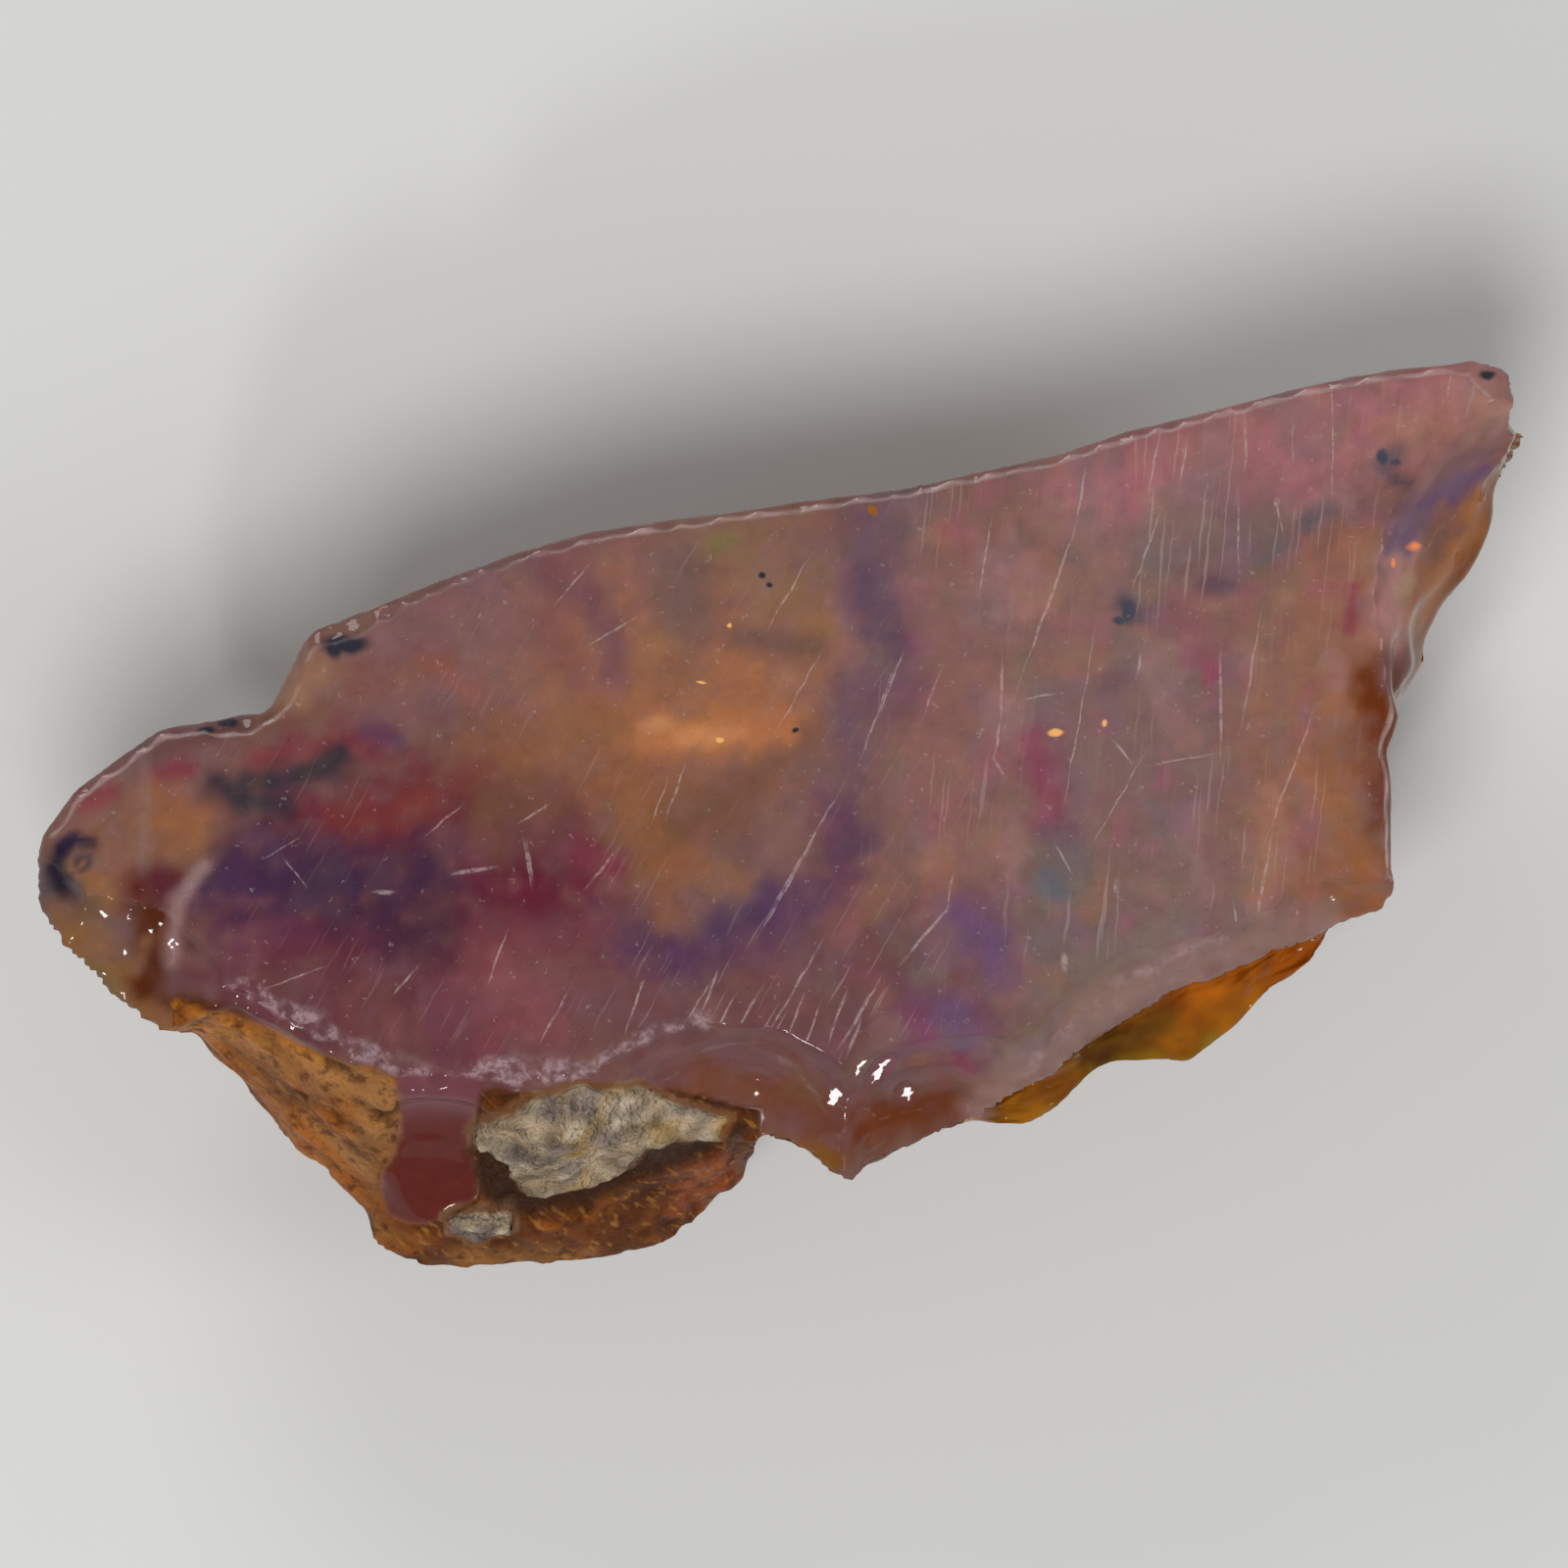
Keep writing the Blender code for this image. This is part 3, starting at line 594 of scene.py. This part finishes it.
# The rind goes from gold at the left to dark brown under the window, and is golden again at its foot.
# It has dark spots, pale fibres, embers of orange, and a few patches in places of their own.
RIND_GOLD = (0.27, 0.078, 0.004)
RIND_TO_BROWN = (-0.18, -0.056, -0.003)
RIND_TO_FOOT = (0.11, 0.032, 0.001)
RIND_SPOT = (0.05, 0.012, 0.002)
RIND_FIBRE = (0.36, 0.17, 0.05)
RIND_EMBER = (0.25, 0.07, 0.006)
rind_tint_and_shade = np.array(RIND_GOLD) + ease(-8.5, -5.5, points[:, 0])[:, None] * RIND_TO_BROWN
rind_tint_and_shade += (ease(4.0, 5.4, below_window) * ease(-8, -6, points[:, 0]))[:, None] * RIND_TO_FOOT
spots = ease(0.05, 0.45, ripple(points, 0.9, shift=71.0))
lay(RIND_SPOT, spots * (0.45 + 0.5 * ease(-8, -4, points[:, 0])), rind_tint_and_shade)
pale = ease(0.2, 0.6, ripple(points @ fibre_frame, 0.5, squeeze=(0.22, 1, 0.6), shift=74.0))
lay(RIND_FIBRE, 0.6 * pale * ease(-4.5, -8, points[:, 0]), rind_tint_and_shade)
lay(RIND_EMBER, 0.6 * ease(0.25, 0.6, ripple(points, 0.7, shift=77.0)), rind_tint_and_shade)
RIND_PATCHES = [
    ((0.36, 0.165, 0.05), 46, [(340, 1092), (392, 1112), (384, 1168)]),
    ((0.34, 0.13, 0.02), 34, [(212, 1048), (262, 1062), (300, 1084)]),
    ((0.26, 0.05, 0.003), 34, [(700, 1226), (738, 1196)]),
    ((0.26, 0.1, 0.02), 22, [(470, 1292), (600, 1290)]),
]
for tint, half_width, path in RIND_PATCHES:
    lay(tint, 0.75 * ease(0, 1, 1 - gap_to(frayed, path) / (half_width * PICTURE_STEP)), rind_tint_and_shade)
# Painted shade and light: the rind is darker in the pits of its relief and lighter on its fibres and lumps.
rind_tint_and_shade *= np.clip(1.0 + 1.7 * pits + 0.5 * fibre + 0.4 * lumps, 0.15, 1.9)[:, None]
lay(rind_tint_and_shade, ease(-0.06, 0.06, rind), body)

# The host rock is cream, with patches of other tints: tint, and their size in millimetres.
ROCK = (0.27, 0.195, 0.125)
ROCK_PATCHES = [
    ((0.41, 0.33, 0.25), 1.0), ((0.3, 0.195, 0.08), 0.8),
    ((0.17, 0.13, 0.11), 0.6), ((0.36, 0.29, 0.2), 0.35),
]
rock_tint_and_shade = np.tile(ROCK, (len(points), 1))
for number, (tint, size) in enumerate(ROCK_PATCHES):
    lay(tint, ease(0.05, 0.4, ripple(points, size, shift=91.0 + 5 * number)), rock_tint_and_shade)
# Painted shade and light: the rock is darker where its grains sink and lighter where they rise.
rock_tint_and_shade *= np.clip(1 + 0.9 * ripple(points, 0.3, shift=9.0), 0.4, 1.5)[:, None]
lay(rock_tint_and_shade, ease(-0.16, -0.04, crust), body)

# Where the pale line of painted highlight runs: along the window's lower and left edges, and faintly along
# the facets' edges
FACET_EDGES = [
    [(671, 1111), (703, 1085), (730, 1064), (773, 1063), (799, 1085), (826, 1111), (863, 1138)],
    [(863, 1138), (884, 1131), (905, 1140), (932, 1126), (962, 1137), (992, 1150)],
    [(863, 1138), (861, 1170), (858, 1202)], [(208, 884), (184, 912), (178, 940), (172, 984)],
    [(1442, 596), (1449, 566), (1470, 540), (1496, 512)],
]
FACET_EDGE_HIGHLIGHT = 0.25
facet_gap = np.minimum.reduce([gap_to(frayed, edge) for edge in FACET_EDGES])
rim_highlight = ease(0.8, 0.95, -rim_side[:, 0]) * (points[:, 1] < 2.4)
rim_highlight = np.maximum(ease(0.3, 0.7, -rim_side[:, 1]), rim_highlight)
dull_stretch = ease(-8.6, -8.2, points[:, 0]) * ease(-3.8, -4.6, points[:, 0]) * (points[:, 1] > 2.5)
rim_highlight *= 1 - 0.8 * dull_stretch
rim_highlight = np.where(facet_gap < 0.2, FACET_EDGE_HIGHLIGHT, rim_highlight)
rim_gap = np.minimum(rim_gap, facet_gap * 2.2 + 0.02)

# What the finish reads from the skin: depths in millimetres, and shares from 0 to 1
BRUSHED = [(740, 1040), (880, 1000)]
patchy = ease(-0.15, 0.35, ripple(points, 1.7, shift=81.0)) * 0.85 + 0.15
brushed = ease(2.4, 0.6, gap_to(points, BRUSHED))
skin_values = {
    "rind": rind,
    "crust": crust,
    "hollow": hollow,
    "rim_gap": rim_gap,
    "rim_highlight": rim_highlight,
    "crushed": np.maximum(crushed, 0.6 * scuffed),
    "sawn": on_window.astype(float),
    "left_hairs": on_window * (0.35 * patchy + 0.9 * brushed) * ease(6, 1.5, points[:, 0]),
    "right_hairs": on_window * patchy * ease(0.5, 4, points[:, 0]),
}
for name, values in skin_values.items():
    layer = stone_mesh.attributes.new(name, "FLOAT", "POINT")
    layer.data.foreach_set("value", values.astype(np.float32))
# The colour laid in the skin, with the rind's and the rock's painted shade and light in it
layer = stone_mesh.attributes.new("play_of_colour_and_shade", "FLOAT_COLOR", "POINT")
layer.data.foreach_set("color", np.c_[np.clip(body, 0, 1), np.ones(len(body))].astype(np.float32).ravel())
stone = bpy.data.objects.new("opal_stone", stone_mesh)
bpy.context.scene.collection.objects.link(stone)

# The finish. One shader for the whole stone: milky opal with its play of colour, the saw's scratches on
# the window, brown rind and chalky host rock, each where its depth says.
opal_finish = bpy.data.materials.new("opal")
opal_finish.use_nodes = True
tree = opal_finish.node_tree
shader = tree.nodes["Principled BSDF"]


def add(kind, inputs=None, **settings):
    """Adds a node. An input is given as a number, a colour or the output that feeds it."""
    made = tree.nodes.new(kind)
    for name, value in settings.items():
        setattr(made, name, value)
    for socket, value in (inputs or {}).items():
        if isinstance(value, bpy.types.NodeSocket):
            tree.links.new(value, made.inputs[socket])
        else:
            made.inputs[socket].default_value = value
    return made


def attribute(name):
    return add("ShaderNodeAttribute", attribute_name=name).outputs["Fac"]


def calc(operation, first, second=0.0, third=0.0):
    return add("ShaderNodeMath", {0: first, 1: second, 2: third}, operation=operation).outputs[0]


def fade(value, low, high, to_low=0.0, to_high=1.0):
    """A soft step from one value to another, as its input goes from low to high."""
    made = add("ShaderNodeMapRange", {0: value, 1: low, 2: high, 3: to_low, 4: to_high})
    made.interpolation_type = "SMOOTHSTEP"
    return made.outputs[0]


def blend(share, first, second):
    """One colour over another, by this share."""
    first, second = [c if isinstance(c, bpy.types.NodeSocket) else (*c, 1) for c in (first, second)]
    return add("ShaderNodeMix", {0: share, 6: first, 7: second}, data_type="RGBA").outputs[2]


def speckle(where, size, detail=1.0, rough=0.5):
    """Cloudy noise whose lumps are about this many millimetres across, from 0 to 1."""
    inputs = {"Vector": where, "Scale": 1 / size, "Detail": detail, "Roughness": rough}
    return add("ShaderNodeTexNoise", inputs).outputs["Fac"]


def turned(where, degrees, scale=(1, 1, 1)):
    """The place, seen along lines that run at this many degrees."""
    turn = Matrix.Rotation(-math.radians(degrees), 3, "Z")
    sides = {}
    for n in range(3):
        side = add("ShaderNodeVectorMath", {0: where, 1: turn[n] / scale[n]}, operation="DOT_PRODUCT")
        sides[n] = side.outputs["Value"]
    return add("ShaderNodeCombineXYZ", sides).outputs[0]


def shaken(where, shake, reach):
    """The place, moved aside by up to this many millimetres."""
    inputs = {0: shake, 1: (reach,) * 3, 2: where}
    return add("ShaderNodeVectorMath", inputs, operation="MULTIPLY_ADD").outputs[0]


def times(first, second):
    """One colour multiplied by another."""
    inputs = {0: 1.0, 6: first, 7: (*second, 1)}
    return add("ShaderNodeMix", inputs, data_type="RGBA", blend_type="MULTIPLY").outputs[2]


# A mark on the window is lost below it: each millimetre down adds this much to how far off it is.
LOST_BELOW = 0.8


def off_middle(where, middle, reach):
    """0 at the middle of a long spot on the window, 1 at its outline, and more outside and below it."""
    scale = (1 / reach[0], 1 / reach[1], LOST_BELOW)
    shift = (-middle[0] / reach[0], -middle[1] / reach[1], -LOST_BELOW * window_height)
    moved = add("ShaderNodeVectorMath", {0: where, 1: scale, 2: shift}, operation="MULTIPLY_ADD").outputs[0]
    return add("ShaderNodeVectorMath", {0: moved}, operation="LENGTH").outputs["Value"]


# Places in the stone in millimetres, as they are and moved aside a little so that no outline is ruled,
# and the two grains that break up every colour
in_metres = add("ShaderNodeTexCoord").outputs["Object"]
here = add("ShaderNodeVectorMath", {0: in_metres, 1: (1 / MM,) * 3}, operation="MULTIPLY").outputs[0]
stray = add("ShaderNodeTexNoise", {"Vector": here, "Scale": 2.6, "Detail": 1.0}).outputs["Color"]
ragged = shaken(here, stray, 0.16)
steady = shaken(here, stray, 0.08)
fine = speckle(ragged, 0.34, 3.0, 0.6)
gritty = speckle(here, 0.13, 2.0, 0.65)

# Milky body: the play of colour, with the cloudiness that is finer than the mesh
colour = add("ShaderNodeAttribute", attribute_name="play_of_colour_and_shade").outputs["Color"]
LIGHTER = (1.35, 1.45, 1.5)
DARKER = (0.68, 0.62, 0.66)
lighter = times(colour, LIGHTER)
darker = times(colour, DARKER)
colour = blend(fade(fine, 0.5, 0.8, 0.0, 0.4), colour, lighter)
colour = blend(fade(fine, 0.5, 0.25, 0.0, 0.35), colour, darker)

# The smallest marks in the opal, in groups of one colour each: where, and half their sizes in the picture
SPECKS = {
    (0.022, 0.02, 0.03): [
        (357, 653, 30, 12), (346, 657, 12, 14), (1524, 377, 12, 7), (782, 583, 5, 4), (791, 592, 4, 4),
        (817, 741, 4, 3), (236, 733, 14, 6), (214, 741, 10, 5),
    ],
    (0.05, 0.05, 0.07): [(1156, 621, 9, 13), (1146, 628, 9, 6), (1416, 462, 7, 9), (1428, 468, 6, 4)],
    (0.26, 0.085, 0.01): [(897, 517, 6, 6)],
    (0.95, 0.27, 0.09): [(1450, 553, 10, 7), (1427, 571, 4, 6)],
    (0.75, 0.37, 0.13): [
        (1082, 743, 8, 4), (1131, 733, 3, 4), (739, 751, 6, 3), (750, 633, 3, 2), (720, 692, 6, 2),
    ],
}
FAR_OFF = 9.0
for tint, specks in SPECKS.items():
    nearest = FAR_OFF
    for across, down, half_across, half_down in specks:
        reach = (half_across * PICTURE_STEP, half_down * PICTURE_STEP)
        nearest = calc("MINIMUM", nearest, off_middle(ragged, spot(across, down), reach))
    colour = blend(fade(nearest, 1.15, 0.45), colour, tint)

# Scratches of the saw and the grinding wheel, only on the window. Each runs from one place in the picture
# to another, with half its width last, and those of about the same slant are laid along the same lines.
SCRATCHES = [
    (1112, 478, 1099, 528, 2.5), (1098, 530, 1047, 694, 2.5), (1080, 704, 1049, 712, 2),
    (1188, 526, 1155, 597, 2), (1267, 505, 1265, 574, 2), (1252, 667, 1244, 768, 3),
    (1287, 628, 1271, 737, 2), (1341, 725, 1298, 849, 2), (1298, 849, 1285, 949, 3),
    (1261, 919, 1266, 951, 2), (1115, 640, 1093, 818, 1.5), (1167, 659, 1163, 686, 2.5),
    (1175, 777, 1240, 768, 1.5), (1173, 768, 1117, 853, 1.6), (1138, 754, 1157, 775, 2.5),
    (1364, 389, 1360, 505, 1.5), (1275, 420, 1271, 478, 2.5), (1482, 381, 1480, 400, 2.5),
    (1306, 508, 1310, 543, 2), (1305, 506, 1305, 516, 6), (916, 686, 878, 770, 2),
    (924, 662, 900, 726, 2), (962, 686, 944, 726, 2.5), (1026, 666, 1022, 730, 2.5),
    (1024, 734, 1016, 770, 2.5), (1016, 770, 1026, 790, 2.5), (840, 666, 796, 738, 1.8),
    (828, 570, 784, 638, 1.8), (604, 570, 572, 614, 1.8), (650, 626, 604, 658, 2),
    (860, 802, 780, 942, 2), (976, 886, 968, 926, 2), (968, 926, 924, 978, 3),
    (632, 866, 600, 902, 3), (736, 986, 718, 1031, 2.5), (540, 858, 546, 894, 2.5),
    (682, 794, 670, 834, 2), (560, 822, 532, 836, 2), (292, 872, 314, 902, 2),
    (306, 852, 274, 874, 1.5), (536, 856, 546, 900, 2), (464, 888, 506, 884, 4),
    (382, 908, 404, 908, 4), (428, 984, 404, 1012, 2.5), (332, 986, 276, 1004, 2),
    (1141, 893, 1140, 908, 3), (1088, 970, 1088, 990, 6), (900, 1000, 862, 1060, 2.5),
    (840, 960, 800, 1030, 2.5), (826, 866, 778, 949, 2), (1016, 530, 1000, 600, 2),
    (1184, 440, 1176, 500, 2), (1215, 450, 1206, 490, 2), (1320, 430, 1322, 470, 1.5),
    (660, 1000, 640, 1050, 2.5), (580, 1010, 556, 1060, 2.5), (752, 1012, 728, 1058, 2),
    (778, 1004, 752, 1056, 2.4), (806, 1018, 776, 1070, 2), (824, 1012, 806, 1052, 2.2),
    (842, 1022, 818, 1074, 2), (868, 1010, 846, 1060, 2.4), (880, 1040, 866, 1076, 3),
    (726, 1000, 704, 1040, 2), (520, 950, 500, 1000, 2), (1080, 860, 1096, 890, 2),
    (700, 780, 684, 830, 2), (470, 820, 440, 850, 2),
]
SLANT_STEP = 10
lines = {}
nearest = FAR_OFF
for across, down, far_across, far_down, half_width in SCRATCHES:
    start, end = Vector(spot(across, down)), Vector(spot(far_across, far_down))
    own_slant = math.degrees(math.atan2(end.y - start.y, end.x - start.x)) % 180
    slant = round(own_slant / SLANT_STEP) * SLANT_STEP
    if slant not in lines:
        lines[slant] = turned(steady, slant)
    middle = (start + end) / 2
    middle.rotate(Matrix.Rotation(-math.radians(slant), 2))
    reach = ((end - start).length * 0.55, half_width * 0.6 * PICTURE_STEP)
    nearest = calc("MINIMUM", nearest, off_middle(lines[slant], middle, reach))
sawn = fade(attribute("sawn"), 0.3, 0.9)
marks = calc("MULTIPLY", fade(nearest, 1.3, 0.4), fade(gritty, 0.36, 0.58, 0.25, 1.0))
marks = calc("MULTIPLY", marks, sawn)

# Hairlines too fine to place one by one: their slant, their spacing in millimetres and where they are
HAIRS = [(61, 0.06, "left_hairs"), (84, 0.07, "right_hairs")]
hairs = 0.0
for degrees, gap, share in HAIRS:
    line = speckle(turned(steady, degrees, (22, 1, 8)), gap, 0.0)
    hairs = calc("MAXIMUM", hairs, calc("MULTIPLY", fade(line, 0.67, 0.82), attribute(share)))
dust = calc("MULTIPLY", fade(gritty, 0.66, 0.75), sawn)
HAIR_TINT = (0.45, 0.35, 0.34)
SCRATCH_TINT = (0.47, 0.36, 0.35)
DUST_TINT = (0.45, 0.38, 0.36)
colour = blend(calc("MULTIPLY", hairs, 0.24), colour, HAIR_TINT)
colour = blend(calc("MULTIPLY", marks, 0.45), colour, SCRATCH_TINT)
colour = blend(calc("MULTIPLY", dust, 0.22), colour, DUST_TINT)

# The pale line of painted highlight along the window's edge, and the chalky crushed opal along its lower edge
RIM_HIGHLIGHT_TINT = (0.42, 0.3, 0.29)
CHALK_TINT = (0.34, 0.23, 0.25)
edge_highlight = calc("MULTIPLY", fade(attribute("rim_gap"), 0.1, 0.02), attribute("rim_highlight"))
colour = blend(calc("MULTIPLY", edge_highlight, 0.6), colour, RIM_HIGHLIGHT_TINT)
chalky = calc("MULTIPLY", fade(attribute("crushed"), 0.25, 0.9), fade(fine, 0.42, 0.6, 0.1, 0.8))
chalky = calc("MULTIPLY", chalky, fade(gritty, 0.4, 0.56, 0.35, 1.0))
colour = blend(chalky, colour, CHALK_TINT)

# Rind: brown and rough, with fibres down its slope, rust where it meets the rock, and a hollow painted dark
# as stain and shadow
RIND_DARK = (0.05, 0.01, 0.001)
RIND_FIBRE_TIP = (0.4, 0.17, 0.03)
RIND_PIT = (0.05, 0.012, 0.002)
RUST = (0.13, 0.042, 0.008)
STAIN_AND_SHADOW = (0.028, 0.01, 0.004)
on_rind = fade(calc("MULTIPLY_ADD", fine, 0.16, attribute("rind")), 0.02, 0.14)
fibres = speckle(turned(ragged, FIBRE_SLANT, (3.5, 1, 2)), 0.13, 1.0, 0.6)
skin_tint_and_shade = add("ShaderNodeAttribute", attribute_name="play_of_colour_and_shade").outputs["Color"]
rind_colour = blend(fade(fine, 0.52, 0.3, 0.0, 0.75), skin_tint_and_shade, RIND_DARK)
rind_colour = blend(fade(fibres, 0.55, 0.75, 0.0, 0.45), rind_colour, RIND_FIBRE_TIP)
rind_colour = blend(fade(gritty, 0.42, 0.3, 0.0, 0.5), rind_colour, RIND_PIT)
colour = blend(on_rind, colour, rind_colour)
rusty = fade(calc("MULTIPLY_ADD", fine, 0.16, attribute("crust")), -0.12, 0.0, 0.0, 0.8)
colour = blend(rusty, colour, RUST)
# The hollow under the rock's ledge is painted dark: partly stain, partly the ledge's painted shadow.
stain_and_shadow = fade(calc("MULTIPLY_ADD", fine, 0.14, attribute("hollow")), 0.0, 0.2, 0.0, 0.9)
colour = blend(stain_and_shadow, colour, STAIN_AND_SHADOW)

# Host rock: cream, with pale and dark grains
PALE_GRAIN = (0.44, 0.37, 0.29)
DARK_GRAIN = (0.09, 0.05, 0.028)
rock = blend(fade(gritty, 0.55, 0.75, 0.0, 0.5), skin_tint_and_shade, PALE_GRAIN)
rock = blend(fade(gritty, 0.36, 0.24, 0.0, 0.7), rock, DARK_GRAIN)
on_rock = fade(calc("MULTIPLY_ADD", fine, 0.1, attribute("crust")), 0.02, 0.09)
colour = blend(on_rock, colour, rock)

# Roughness: glassy where broken, satin on the window, waxy on the rind, dull on the host rock
GLASSY = 0.07
SATIN = 0.42
SCRATCHED = 0.65
CHALKY = 0.7
WAXY = (0.62, 0.42)
DULL = 0.9
roughness = fade(sawn, 0.0, 1.0, GLASSY, SATIN)
for where, value in (
    (marks, SCRATCHED), (chalky, CHALKY), (on_rind, fade(fine, 0.3, 0.7, *WAXY)), (on_rock, DULL),
):
    roughness = add("ShaderNodeMix", {0: where, 2: roughness, 3: value}).outputs[0]

# Grain finer than the mesh: deep on the rock, less on the rind, slight on the opal
OPAL_GRAIN = 0.07
RIND_GRAIN = 4.5
ROCK_GRAIN = 5.0
GRAIN_DEPTH = 0.02
grain_share = fade(attribute("rind"), 0.0, 0.1, OPAL_GRAIN, RIND_GRAIN)
grain_share = calc("ADD", grain_share, fade(attribute("crust"), 0.0, 0.08, 0.0, ROCK_GRAIN))
grain = calc("MULTIPLY", speckle(here, 0.13, 1.0, 0.6), grain_share)
bump = add("ShaderNodeBump", {"Height": grain, "Strength": 1.0, "Distance": GRAIN_DEPTH * MM})

tree.links.new(colour, shader.inputs["Base Color"])
tree.links.new(roughness, shader.inputs["Roughness"])
tree.links.new(bump.outputs[0], shader.inputs["Normal"])
OPAL_IOR = 1.45
SHINE = 0.22
shader.inputs["IOR"].default_value = OPAL_IOR
shader.inputs["Specular IOR Level"].default_value = SHINE
stone_mesh.materials.clear()
stone_mesh.materials.append(opal_finish)

# The stone is the part's one body, and stands for its one solid.
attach(stone, "root")
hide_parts("opal")

# The floor that the stone lies on: a wide sheet of pale matt board. It is one flat face at the height of
# the stone's foot, and only stages the picture.
BOARD_REACH = 1.5
BOARD_TINT = (0.6, 0.6, 0.59, 1)
board = bmesh.new()
bmesh.ops.create_grid(board, x_segments=1, y_segments=1, size=BOARD_REACH)
board_mesh = bpy.data.meshes.new("floor")
board.to_mesh(board_mesh)
board.free()
floor = bpy.data.objects.new("floor", board_mesh)
bpy.context.scene.collection.objects.link(floor)
board_finish = bpy.data.materials.new("pale_board")
board_finish.use_nodes = True
board_shader = board_finish.node_tree.nodes["Principled BSDF"]
board_shader.inputs["Base Color"].default_value = BOARD_TINT
board_shader.inputs["Roughness"].default_value = 0.9
board_mesh.materials.append(board_finish)

# Studio light: three softboxes, a small lamp in front for the glints on the chips, and a dim pale room.
# Each lamp says its place and width in metres, its power, and whether the stone mirrors it.
ROOM_TINT = (1.0, 0.99, 0.98, 1)
ROOM_LIGHT = 0.25
LAMPS = [
    ("high_softbox", (-0.03, -0.09, 0.27), 0.12, 0.45, False),
    ("back_softbox", (-0.1, 0.25, 0.14), 0.12, 0.3, True),
    ("right_softbox", (0.26, -0.02, 0.16), 0.12, 0.2, True),
    ("front_spark", (-0.1, -0.22, 0.18), 0.035, 0.18, True),
]
for name, place, width, power, mirrored in LAMPS:
    light = bpy.data.lights.new(name, "AREA")
    light.shape = "DISK"
    light.size = width
    light.energy = power
    lamp = bpy.data.objects.new(name, light)
    lamp.location = place
    lamp.visible_glossy = mirrored
    lamp.rotation_euler = (-Vector(place)).to_track_quat("-Z", "Y").to_euler()
    bpy.context.scene.collection.objects.link(lamp)
room = bpy.data.worlds.new("room")
room.use_nodes = True
room.node_tree.nodes["Background"].inputs["Color"].default_value = ROOM_TINT
room.node_tree.nodes["Background"].inputs["Strength"].default_value = ROOM_LIGHT
bpy.context.scene.world = room
bpy.context.scene.view_settings.view_transform = "Standard"

# The camera looks straight down on the window through a long lens, as the photograph was taken. Its
# width of view and its height over the window are in millimetres.
PICTURE_CENTRE = (800, 800)
PICTURE_WIDTH = 28.0
CAMERA_HEIGHT = 300.0
camera_data = bpy.data.cameras.new("camera")
camera_data.sensor_width = 36.0
camera_data.lens = camera_data.sensor_width * CAMERA_HEIGHT / PICTURE_WIDTH
camera_data.clip_start = 0.01
camera = bpy.data.objects.new("camera", camera_data)
camera.location = Vector((*spot(*PICTURE_CENTRE), window_height + CAMERA_HEIGHT)) * MM
bpy.context.scene.collection.objects.link(camera)
bpy.context.scene.camera = camera

bpy.context.view_layer.update()
